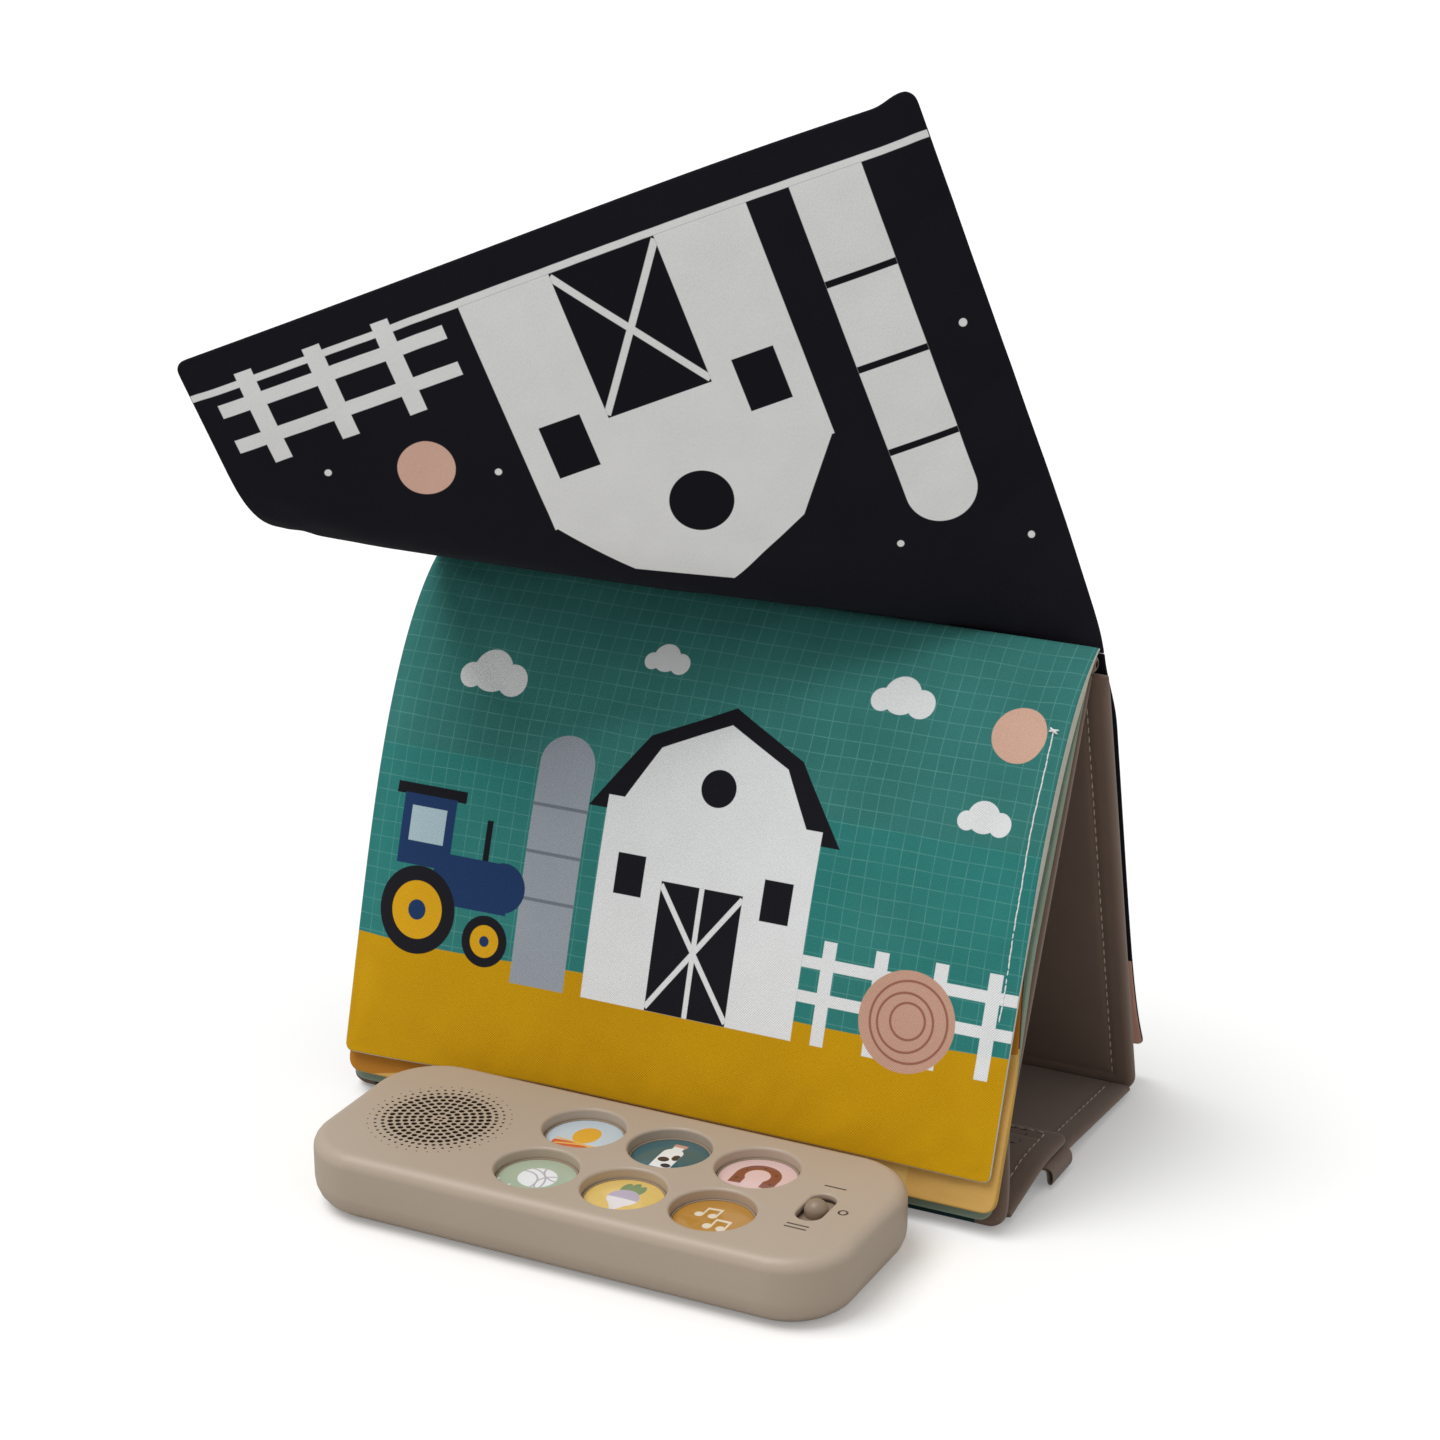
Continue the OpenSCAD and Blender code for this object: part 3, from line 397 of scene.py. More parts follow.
def sewn_pad(name, us, vs, place, thick, lip, facing, materials, corner=0.6):
    """A closed cloth form over a flat cut of us by vs millimetres: a front, a back and a rolled edge.
    The far end has round corners."""
    cut_u, cut_v = np.meshgrid(us, vs)
    centre = np.clip(cut_u, corner, us[-1] - corner), np.clip(cut_v, vs[0] + 0.001, vs[-1] - corner)
    a, b = cut_u - centre[0], cut_v - centre[1]
    across_at = centre[0] + a * np.sqrt(1 - (b / corner) ** 2 / 2)
    down_at = centre[1] + b * np.sqrt(1 - (a / corner) ** 2 / 2)
    middle = place(across_at, down_at)
    across = unit(place(across_at + 0.2, down_at) - place(across_at - 0.2, down_at))
    down = unit(place(across_at, down_at + 0.2) - place(across_at, down_at - 0.2))
    out = facing * unit(np.cross(down, across))
    half = thick(cut_u, cut_v)[..., None] / 2
    rows, columns = across_at.shape
    count = rows * columns
    number = np.arange(count).reshape(rows, columns)
    rim = np.concatenate([number[0, :-1], number[:-1, -1], number[-1, :0:-1], number[:0:-1, 0]])
    away = across * (across_at - centre[0])[..., None] + down * (down_at - centre[1])[..., None]
    edge = middle.reshape(-1, 3)[rim] + lip * unit(away.reshape(-1, 3)[rim])
    front_at, back_at = middle + out * half, middle - out * half
    points = np.concatenate([front_at.reshape(-1, 3), back_at.reshape(-1, 3), edge])
    quad = number[:-1, :-1], number[1:, :-1], number[1:, 1:], number[:-1, 1:]
    front = np.stack(quad, -1).reshape(-1, 4)
    ring = np.arange(len(rim)) + 2 * count
    ring_next, rim_next = np.roll(ring, -1), np.roll(rim, -1)
    upper = np.stack([rim, rim_next, ring_next, ring], -1)
    lower = np.stack([rim_next + count, rim + count, ring, ring_next], -1)
    faces = np.concatenate([front, front[:, ::-1] + count, upper, lower])[:, ::facing]
    mesh = bpy.data.meshes.new(name)
    mesh.from_pydata((points / 1000).tolist(), [], faces.tolist())
    slot = np.repeat([0, 1, 2], [len(front), len(front), 2 * len(rim)]).astype(np.int32)
    head = 2 * len(front) + np.arange(columns - 1)
    slot[head], slot[head + len(rim)] = 0, 1
    mesh.polygons.foreach_set("material_index", slot)
    mesh.polygons.foreach_set("use_smooth", np.ones(len(faces), bool))
    flat = np.stack([across_at, down_at, np.zeros_like(down_at)], -1).reshape(-1, 3)
    layer = mesh.attributes.new("flat", "FLOAT_VECTOR", "POINT")
    layer.data.foreach_set("vector", np.concatenate([flat, flat, flat[rim]]).astype(np.float32).ravel())
    for material in materials:
        mesh.materials.append(material)
    mesh.update()
    made = bpy.data.objects.new(name, mesh)
    scene.collection.objects.link(made)
    return made


def soften(made, level=1):
    smooth = made.modifiers.new("smooth", "SUBSURF")
    smooth.levels = level
    smooth.render_levels = level
    return made


def rows(length, close, step):
    """Places along a cut: close together at its ends, then step apart."""
    inner = length - 2 * close[-1]
    many = max(2, round(inner / step))
    middle = [close[-1] + inner * i / many for i in range(1, many)]
    return np.array([*close, *middle, *[length - c for c in reversed(close)]])


def cloth(name, paint, twill=0.5, rough=0.86, sheen=0.06, bump=0.2, gloss=0.12):
    """Woven cloth: paint gives the colour over the flat cut, in millimetres; twill is the weave's step."""
    constants = {"Sheen Weight": sheen, "Sheen Roughness": 0.5, "Specular IOR Level": gloss}
    made, shader, place = finish_of(name, constants)
    flat = place.node("Attribute", {"attribute_name": "flat"}, {}, out=1)
    split = flat.node("SeparateXYZ", {}, {0: flat})
    down = Dye(split.tree, split.socket.node.outputs[1])
    slant = (split + down * 0.8) * (2 * math.pi / twill)
    rib = slant.math("SINE", slant)
    thread = flat.scale((1, 0.35, 1)).noise(0.32, 2)
    slub = flat.noise(14, 2)
    tint = (rib * 0.025 + thread * 0.2 + slub * 0.1 + 0.84).grey()
    feed(shader, colour=paint(flat).mix(tint, 1.0, "MULTIPLY"), rough=thread * 0.12 + (rough - 0.06),
         normal=(rib * 0.5 + thread).bump(bump, 0.00025))
    return made


def plain(code, other):
    """Dyed cloth with a faint cloudiness between two close colours."""
    return lambda p: printed(code, (p.noise(26, 2), other))


def teal_panel(p):
    sewn_on = block(p, 8.5, 8.5, COVER_W - 8.5, 300)
    return printed("7c685c", (sewn_on, "17383b"))


taupe_cloth = cloth("taupe_cloth", plain("7a6658", "856f61"), rough=0.7, sheen=0.3, gloss=0.25)
cover_front = cloth("cover_front", teal_panel, rough=0.75)
thread_taupe = moulded("thread_taupe", "c6b7a4", 0.7)


def front_place(x, s, n):
    """A point on the front cover: s up its slope from the foot, n out of its middle."""
    return np.stack([x, FOOT_F[0] + s * math.cos(SLOPE_F) - n * math.sin(SLOPE_F),
                     FOOT_F[1] + s * math.sin(SLOPE_F) + n * math.cos(SLOPE_F)], -1)


def rear_place(x, s, n):
    return np.stack([x, FOOT_R[0] + s * math.cos(SLOPE_R) + n * math.sin(SLOPE_R),
                     FOOT_R[1] + s * math.sin(SLOPE_R) - n * math.cos(SLOPE_R)], -1)


def sleeve_thickness(width, length, full, hem, foot):
    """A board in a sleeve: rolled at its edges, drawn in along the topstitching, and with foot, flattened at
    its sewn end."""
    def thick(u, v):
        edge = np.minimum(np.minimum(u, width - u), length - v)
        roll = np.sqrt(1 - (1 - np.clip((edge + 0.25) / 2.2, 0, 1)) ** 2)
        drawn = np.exp(-((edge - hem) / 0.9) ** 2) * 0.22
        flattened = 0.66 * np.exp(-np.maximum(v, 0) / 5) if foot else 0
        return full * roll * (1 - drawn) * (1 - flattened)
    return thick


def resample(points, step):
    """Places and directions a step apart along a line of points."""
    points = np.asarray(points, float)
    far = np.concatenate([[0], np.cumsum(np.linalg.norm(np.diff(points, axis=0), axis=1))])
    many = int(far[-1] // step)
    at = (np.arange(many) + 0.5) * far[-1] / many
    place = np.stack([np.interp(at, far, points[:, i]) for i in range(3)], -1)
    ahead_of = np.stack([np.interp(at + 0.4, far, points[:, i]) for i in range(3)], -1)
    behind = np.stack([np.interp(at - 0.4, far, points[:, i]) for i in range(3)], -1)
    return place, unit(ahead_of - behind)


def sew(name, runs, thread, step=3.1, long=2.3, thick=0.42):
    """Stitches: short threads that dip into the cloth at both ends. A run is a line of points and its
    outward way."""
    ring_at = np.array([-1, -0.7, -0.25, 0.25, 0.7, 1])
    ring_r = np.array([0.3, 0.8, 1, 1, 0.8, 0.3]) * thick / 2
    ring_up = np.array([-0.7, 0.1, 0.5, 0.5, 0.1, -0.7]) * thick / 2
    turn = np.arange(6) * math.pi / 3
    points, faces = [], []
    for line, out in runs:
        place, along = resample(line, step)
        out = unit(np.asarray(out, float) - (along @ np.asarray(out, float))[:, None] * along)
        beside = np.cross(along, out)
        for c, a, o, b in zip(place, along, out, beside):
            first = len(points)
            for t, r, lift in zip(ring_at, ring_r, ring_up):
                middle = c + a * t * long / 2 + o * lift
                points.extend(middle + r * (o * math.cos(w) + b * math.sin(w)) for w in turn)
            for i in range(5):
                for j in range(6):
                    k = (j + 1) % 6
                    here, there = first + 6 * i, first + 6 * i + 6
                    faces.append([here + j, here + k, there + k, there + j])
            faces.append([first + j for j in reversed(range(6))])
            faces.append([first + 30 + j for j in range(6)])
    mesh = bpy.data.meshes.new(name)
    mesh.from_pydata((np.array(points) / 1000).tolist(), [], faces)
    mesh.polygons.foreach_set("use_smooth", np.ones(len(faces), bool))
    mesh.materials.append(thread)
    made = bpy.data.objects.new(name, mesh)
    scene.collection.objects.link(made)
    return made


CLOSE = [0, 0.35, 0.9, 1.7, 2.6, 4, 5.2, 5.9, 6.4, 6.9, 7.6, 9, 12, 15]
HEM = 6.4
COVER_TOP = -1.5
COVERS = (("front", FRONT_L, front_place, 1, "book"), ("rear", REAR_L, rear_place, -1, "rear"))
for name, length, place, facing, body in COVERS:
    shown = length - COVER_TOP

    def panel(u, v, n=0, place=place, shown=shown, drawn_in=1 if name == "front" else 0):
        down = np.clip(v / shown, 0, 1)
        above_foot = np.clip((1 - down) / 0.17, 0, 1) ** 2
        pulled = 3.4 - 1.7 * down + (0.8 + 3.4 * down) * above_foot
        return place(u - COVER_W / 2 + COVER_X - drawn_in * u / COVER_W * pulled, shown - v, 0 * u + n)

    made = sewn_pad(f"{name}_cover_sleeve", rows(COVER_W, CLOSE, 6), rows(shown, CLOSE, 6), panel,
                    sleeve_thickness(COVER_W, shown, COVER_T, HEM, 1), 0.25, facing,
                    (cover_front if name == "front" else taupe_cloth, taupe_cloth, taupe_cloth), corner=5)
    soften(made)
    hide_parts(f"{name}_cover")
    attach(made, body)
    runs = []
    for side in (-1, 1):
        lift = side * (COVER_T / 2 * 0.78 + 0.08)
        corners = [(HEM, 4), (HEM, shown - HEM), (COVER_W - HEM, shown - HEM), (COVER_W - HEM, 4)]
        for (u0, v0), (u1, v1) in zip(corners, corners[1:]):
            if name == "rear" and v0 == v1:
                continue
            u, v = np.linspace(u0, u1, 40), np.linspace(v0, v1, 40)
            line = panel(u, v, lift)
            out = place(np.zeros(1), np.zeros(1), np.ones(1)) - place(np.zeros(1), np.zeros(1), np.zeros(1))
            runs.append((line, side * out[0]))
    stitched = sew(f"{name}_cover_stitches", runs, thread_taupe)
    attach(stitched, body)


# Spine: a roll of the same taupe twill, to which the covers and every leaf are sewn.
# Its seam runs along the underside.
SPINE_L, FLARE = 211.5, 3.5


def spine_place(u, v):
    turn = v / SPINE_R
    ridge = 0.7 * np.exp(-((turn + 0.25) / 0.35) ** 2)
    swell = SPINE_R - 0.35 + 0.12 * np.sin(u / 5.3) * np.sin(turn * 2) + ridge
    pinch = 1 - 0.7 * np.clip(1 - np.minimum(u, SPINE_L - u) / 4, 0, 1) ** 2
    return np.stack([TENT_X + 0.75 - SPINE_L / 2 + u, RIDGE_Y + swell * pinch * np.sin(turn),
                     RIDGE_Z + swell * pinch * np.cos(turn)], -1)


spine = sewn_pad("spine_roll_cloth", rows(SPINE_L, [0, 0.6, 1.4, 2.4], 5),
                 np.linspace(-math.pi * SPINE_R * 0.97, math.pi * SPINE_R * 0.97, 33), spine_place,
                 lambda u, v: 0 * u + 0.5, 0.2, -1, (taupe_cloth, taupe_cloth, taupe_cloth))
soften(spine)
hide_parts("spine_roll")
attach(spine, "book")


# Base flaps: a thin board in a taupe sleeve at the foot of each cover. The front flap lies over the rear
# one, and two pairs of hook and loop patches hold them together.
FLAP_W, FLAP_T, FLAP_Z = 216.8, 2.2, 2.6
PATCH_X = FLAP_W / 2 - 32
thread_brown = moulded("thread_brown", "57483e", 0.7)
FLAP_FY, FLAP_RY = FOOT_F[0] + 4.5, FOOT_R[0] - 3.4
LAP_Y, LAP_H = (FLAP_FY + FLAP_RY) / 2 - 11, 8
LOW_Z = 3.6 + FLAP_T / 2
HIGH_Z = LOW_Z + FLAP_T + 1.2
ROUND_KNEE = 3
SEWN_X, SEWN_Y = 20, 4.6
FLAPS = {"front": ((FLAP_FY + 0.6, FLAP_Z), (LAP_Y - LAP_H - 2, HIGH_Z), (LAP_Y + LAP_H, HIGH_Z)),
         "rear": ((FLAP_RY - 0.6, FLAP_Z), (LAP_Y + LAP_H + 2, LOW_Z), (LAP_Y - LAP_H, LOW_Z))}
for name, (hinge, knee, end) in FLAPS.items():
    slant = math.hypot(knee[0] - hinge[0], knee[1] - hinge[1])
    length = slant + abs(end[0] - knee[0])
    before_knee = np.array(hinge) + (np.array(knee) - hinge) * (1 - ROUND_KNEE / slant)
    after_knee = knee[0] + math.copysign(ROUND_KNEE, end[0] - knee[0])
    profile = np.array([[0, *hinge], [slant - ROUND_KNEE, *before_knee],
                        [slant + ROUND_KNEE, after_knee, knee[1]], [length, *end]])

    def strip(u, v, profile=profile):
        y = np.interp(v, profile[:, 0], profile[:, 1])
        narrower = 1.6 * u / FLAP_W * (FLAP_RY - y) / (FLAP_RY - FLAP_FY)
        z = np.interp(v, profile[:, 0], profile[:, 2])
        return np.stack([u - FLAP_W / 2 + COVER_X - narrower, y, z], -1)

    facing = 1 if name == "front" else -1
    made = sewn_pad(f"{name}_flap_sleeve", rows(FLAP_W, CLOSE, 6), rows(length, CLOSE[:12], 3), strip,
                    sleeve_thickness(FLAP_W, length, FLAP_T, HEM, 0), 0.15, -facing,
                    (taupe_cloth, taupe_cloth, taupe_cloth), corner=4)
    soften(made)
    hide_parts(f"{name}_flap")
    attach(made, f"{name}_flap")
    runs, held_runs = [], []
    for side in (-1, 1):
        corners = [(HEM, 4), (HEM, length - 3), (FLAP_W - HEM, length - 3), (FLAP_W - HEM, 4)]
        for (u0, v0), (u1, v1) in zip(corners, corners[1:]):
            u, v = np.linspace(u0, u1, 40), np.linspace(v0, v1, 40)
            drop = 0.78 if u0 == u1 else 0.96
            runs.append((strip(u, v) + np.array([0, 0, side * (FLAP_T / 2 * drop + 0.3)]), (0, 0, side)))
        for x in (-PATCH_X, PATCH_X):
            height = end[1] + side * (FLAP_T / 2 + 0.04)
            box = [(COVER_X + x + a * SEWN_X, LAP_Y + b * SEWN_Y, height)
                   for a, b in ((-1, -1), (1, -1), (1, 1), (-1, 1), (-1, -1))]
            held_runs.extend(([here, there], (0, 0, side)) for here, there in zip(box, box[1:]))
    for label, lines, thread, thick in (("stitches", runs, thread_taupe, 0.44),
                                        ("patch_stitches", held_runs, thread_brown, 0.3)):
        stitched = sew(f"{name}_flap_{label}", lines, thread, thick=thick)
        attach(stitched, f"{name}_flap")


# Hook and loop patches: napped brown tape, cut in short lengths and sewn on round their edges.
# The hook half is under the front flap, and the loop half on top of the rear one.
def nap(p):
    return printed("4a3d35", (p.noise(0.7, 3), "5f5047"))


napped = cloth("hook_and_loop", nap, twill=1.2, rough=0.95, sheen=0.5, bump=0.9)
for name, flap in (("hook_patch", "front_flap"), ("loop_patch", "rear_flap")):
    low, high = (np.array(c) * 1000 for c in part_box(name))
    for side, x in (("left", COVER_X - PATCH_X), ("right", COVER_X + PATCH_X)):
        def tape(u, v, x=x, low=low, high=high):
            fuzz = 0.05 * np.sin(u * 2.9) * np.sin(v * 3.1)
            return np.stack([x - 22 + u, low[1] + v, 0 * u + (low[2] + high[2]) / 2 + fuzz], -1)

        depth = high[2] - low[2]
        made = sewn_pad(f"{name}_{side}", rows(44, [0, 0.5, 1.2], 1.5), rows(12, [0, 0.5, 1.2], 1.2), tape,
                        lambda u, v, depth=depth: 0 * u + depth * 0.8, 0.1, -1, (napped, napped, napped))
        soften(made)
        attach(made, flap)
        if side == "left":
            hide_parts(name)


# Pull tab: a short length of taupe ribbon, folded into a loop, with both ends caught between the flaps.
# It hangs at their right end and is pulled to open the patches.
TAB_END = COVER_X + FLAP_W / 2 - 1.2
TAB_LINE = np.array([(-8, 0.68), (-4, 0.68), (1, 0.66), (2, 0.2), (2.5, -0.7), (2.7, -1.8), (2.65, -3),
                     (2.3, -4), (1.8, -4.4), (1.3, -4), (1.05, -3), (0.95, -1.7), (0.75, -0.4),
                     (0.2, 0.12), (-1, 0.22), (-4, 0.22), (-8, 0.22)])
TAB_AT = np.concatenate([[0], np.cumsum(np.linalg.norm(np.diff(TAB_LINE, axis=0), axis=1))])


def tab_place(u, v):
    return np.stack([TAB_END + np.interp(v, TAB_AT, TAB_LINE[:, 0]), LAP_Y - 10.5 + u,
                     LOW_Z + FLAP_T / 2 + np.interp(v, TAB_AT, TAB_LINE[:, 1])], -1)


tab = sewn_pad("pull_tab_tape", rows(15, [0, 0.3, 0.8], 1.4), np.linspace(0, TAB_AT[-1], 60), tab_place,
               lambda u, v: 0 * u + 0.4, 0.1, -1, (taupe_cloth, taupe_cloth, taupe_cloth), corner=0.3)
soften(tab)
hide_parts("pull_tab")
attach(tab, "rear_flap")


# Tongue: a strip of dark teal cloth, clamped under the module's back edge and sewn to the front cover's
# foot. The module lifts about the sewn end.
low, high = (np.array(c) * 1000 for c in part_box("module_tongue"))


def tongue_place(u, v):
    wave = 0.12 * np.sin(u / 9) * np.sin(math.pi * v / (high[1] - low[1]))
    return np.stack([low[0] + u, low[1] + v, 0 * u + 0.68 + wave], -1)


dark_teal = cloth("dark_teal_cloth", plain("17383b", "1d4346"), rough=0.75)
tongue = sewn_pad("tongue_strip", rows(high[0] - low[0], [0, 0.6, 1.6, 3], 4),
                  rows(high[1] - low[1], [0, 0.5, 1.2], 1.8), tongue_place,
                  lambda u, v: 0 * u + 0.6, 0.15, -1, (dark_teal, dark_teal, dark_teal))
soften(tongue)
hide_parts("module_tongue")
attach(tongue, "module")


# Leaves: each is two printed polyester panels sewn right sides together, turned, and filled with thin
# wadding, so the turning shows along the edge. They hang in a stack from the spine.
LEAF_W, LEAF_L, BELLY, LEAF_HEM = 211, 160, 3.2, 0.9


def ease(x):
    c = np.clip(x, 0, 1)
    return c * c * (3 - 2 * c)


def leaf_thick(length, side=0, begin=0, stop=2):
    """Thin at the hems and full inside; side makes the right-hand hem thicker between begin and stop."""
    def thick(across, down):
        u, v = across / LEAF_W, np.clip(down / length, 0, 1)
        full = (1 - np.abs(2 * u - 1) ** 8) * ease(v / 0.22) * (1 - v ** 12)
        wide = side * ease((u - 0.92) / 0.08) * ease((v - begin) / 0.12) * (1 - ease((v - stop) / 0.25))
        return LEAF_HEM + (BELLY - 0.25 - LEAF_HEM) * full + wide
    return thick


def front_leaf(sew_n, sew_s, hem_n, left, right_bulge, length, trim=(0, 0), droop=0):
    """A leaf over the front cover: sewn at n and s from the ridge, its hem at hem_n, and a bulge between.
    It is cut wider at the ridge; trim takes some off its right side, above and below, and droop lowers its
    left corner."""
    def place(across, down):
        u, v = across / LEAF_W, np.clip(down / length, 0, 1)
        n = sew_n + (hem_n - sew_n) * (1 - (1 - v) ** 6)
        n = n + (left * (1 - u) + right_bulge * u) * np.sin(math.pi * v ** 0.65)
        s = sew_s - down - droop * ease(1 - across / 75) * v ** 6
        off = trim[0] + (trim[1] - trim[0]) * ease((v - 0.5) / 0.3)
        x = TENT_X - LEAF_W / 2 + across + u * (FLARE * (1 - v) - off)
        return np.stack([x, RIDGE_Y + s * math.cos(SLOPE_F) - n * math.sin(SLOPE_F),
                         RIDGE_Z + s * math.sin(SLOPE_F) + n * math.cos(SLOPE_F)], -1)
    return place


SEW_R = SPINE_R + 1.2
HEM_N = COVER_T / 2 + 0.6 + BELLY / 2
LAY = BELLY + 0.5


def rear_leaf(across, down):
    angle, length = math.radians(-75), LEAF_L - 16
    y, z = -SEW_R * math.sin(angle), SEW_R * math.cos(angle)
    n0 = y * math.sin(SLOPE_R) - z * math.cos(SLOPE_R)
    s0 = y * math.cos(SLOPE_R) + z * math.sin(SLOPE_R)
    v = np.clip(down / length, 0, 1)
    n = n0 + (HEM_N + 0.4 - n0) * (1 - (1 - v) ** 6) + 0.5 * np.sin(math.pi * v ** 0.65) + 6 * v ** 8
    s = s0 - down
    x = TENT_X - LEAF_W / 2 + across * (1 + FLARE / LEAF_W * (0.3 + 0.7 * ease(v / 0.16)))
    return np.stack([x, RIDGE_Y + s * math.cos(SLOPE_R) + n * math.sin(SLOPE_R),
                     RIDGE_Z + s * math.sin(SLOPE_R) - n * math.cos(SLOPE_R)], -1)


TURN_UP, TURN_BEND, TURN_R = math.radians(19.4), math.radians(63.8), 21
FOLD_AT, FOLD_OFF = LEAF_L * 0.77, -10.4
SEWN_AT = math.radians(6)
TURN_SEW = np.array([RIDGE_Y - SEW_R * math.sin(SEWN_AT), RIDGE_Z + SEW_R * math.cos(SEWN_AT)])
fold_run = math.hypot(LEAF_W, FOLD_AT)
fold_along = np.array([-LEAF_W, FOLD_AT]) / fold_run
fold_beyond = np.array([FOLD_AT, LEAF_W]) / fold_run
near = np.array([-math.cos(TURN_UP), math.sin(TURN_UP)])
fold_axis = np.array([fold_along[0], *(fold_along[1] * near)])
fold_out = np.array([fold_beyond[0], *(fold_beyond[1] * near)])
fold_up = np.cross(fold_axis, fold_out)


def turned_flat(across, down):
    """The leaf in mid-turn: level from the ridge, rolled up along a diagonal, level again."""
    s = fold_along[0] * (across - LEAF_W) + fold_along[1] * down
    q = fold_beyond[0] * (across - LEAF_W) + fold_beyond[1] * down - FOLD_OFF
    half = TURN_R * TURN_BEND / 2
    turn = np.clip(q + half, 0, 2 * half) / TURN_R
    past = np.maximum(q - half, 0)
    a = np.minimum(q, -half) + TURN_R * np.sin(turn) + past * math.cos(TURN_BEND) + FOLD_OFF
    b = TURN_R * (1 - np.cos(turn)) + past * math.sin(TURN_BEND)
    start = np.array([TENT_X + LEAF_W / 2, *TURN_SEW])
    return start + s[..., None] * fold_axis + a[..., None] * fold_out + b[..., None] * fold_up


PUCKERS = ((130, 0.9, 5), (112, -0.5, 6), (78, 1.0, 4.5), (66, -0.5, 5), (47, 0.8, 3.6), (29, 0.8, 3),
           (18, -0.6, 2.6), (8, 0.7, 2.4))


def turned_leaf(across, down):
    """The same leaf, drawn in along its ridge seam and puckered along its right side, where a bunched corner
    stands up."""
    bow = np.sin(math.pi * np.clip(across / LEAF_W, 0, 1) ** 2)
    down = down + 1.2 * np.clip(down / LEAF_L, 0, 1) ** 3 * bow
    down = down + 1.9 * ease((across - LEAF_W + 7.5) / 1.6) * np.clip(down / LEAF_L, 0, 1.1) ** 24
    across = across * (1 + 1.3 * down / LEAF_L / LEAF_W)
    sewn_x = TENT_X - LEAF_W / 2 + across * (1 + FLARE / LEAF_W)
    sewn = np.stack([sewn_x, 0 * across + TURN_SEW[0], 0 * across + TURN_SEW[1]], -1)
    pull = np.maximum(0, 1 - down / 45) ** 2
    inward = np.maximum(LEAF_W - across, 0)
    pucker = 0 * across
    for at, tall, wide in PUCKERS:
        pucker = pucker + tall * np.exp(-((down + 0.55 * inward - at) / wide) ** 2) * np.exp(-inward / 22)
    bent = turned_flat(across, down) + (sewn - turned_flat(across, 0 * down)) * pull[..., None]
    bent = bent - np.maximum(0, 1 - down / 6)[..., None] ** 2 * np.array([0, 1.0, 1.4])
    return bent + pucker[..., None] * (math.cos(TURN_BEND) * fold_up - math.sin(TURN_BEND) * fold_out)


def fill_with_wadding(made, held, press, cap):
    """Blows the sewn form up a little against its seams, no point further than cap metres."""
    rest = np.array([v.co for v in made.data.vertices])
    grip = made.vertex_groups.new(name="sewn")
    for index, weight in enumerate(held):
        if weight > 0:
            grip.add([index], float(weight), "REPLACE")
    puff = made.modifiers.new("wadding", "CLOTH")
    settings = puff.settings
    settings.quality = 5
    settings.mass = 0.05
    settings.tension_stiffness = 12
    settings.compression_stiffness = 12
    settings.shear_stiffness = 6
    settings.bending_stiffness = 0.3
    settings.use_pressure = True
    settings.uniform_pressure_force = press
    settings.shrink_min = -0.004
    settings.effector_weights.gravity = 0
    settings.vertex_group_mass = "sewn"
    puff.collision_settings.use_collision = False
    for moment in range(1, 15):
        scene.frame_set(moment)
    graph = bpy.context.evaluated_depsgraph_get()
    blown = np.array([v.co for v in made.evaluated_get(graph).data.vertices])
    made.modifiers.remove(puff)
    scene.frame_set(1)
    move = blown - rest
    far = np.linalg.norm(move, axis=1, keepdims=True)
    move *= np.minimum(1, cap / np.maximum(far, 1e-9))
    made.data.vertices.foreach_set("co", (rest + move).astype(np.float32).ravel())
    made.data.update()


def grid(p, step, width):
    """Thin crossing lines, a step apart, as drawn by hand."""
    wobble = p.noise(30, 1)
    split = p.node("SeparateXYZ", {}, {0: p})
    other = Dye(split.tree, split.socket.node.outputs[1])
    found = None
    for line, pace in ((split, step), (other, step * 0.96)):
        fold = (line + wobble * 1.6).math("PINGPONG", line + wobble * 1.6, pace / 2)
        found = ink(fold, width / 2, 0.2) if found is None else found | ink(fold, width / 2, 0.2)
    return found * (p.noise(9, 2) * 1.4)


def cloud(p, x, y, r):
    beside = spot(p, x + r * 1.1, y + r * 0.3, r * 0.75)
    return spot(p, x, y, r) | beside | spot(p, x - r, y + r * 0.35, r * 0.6)


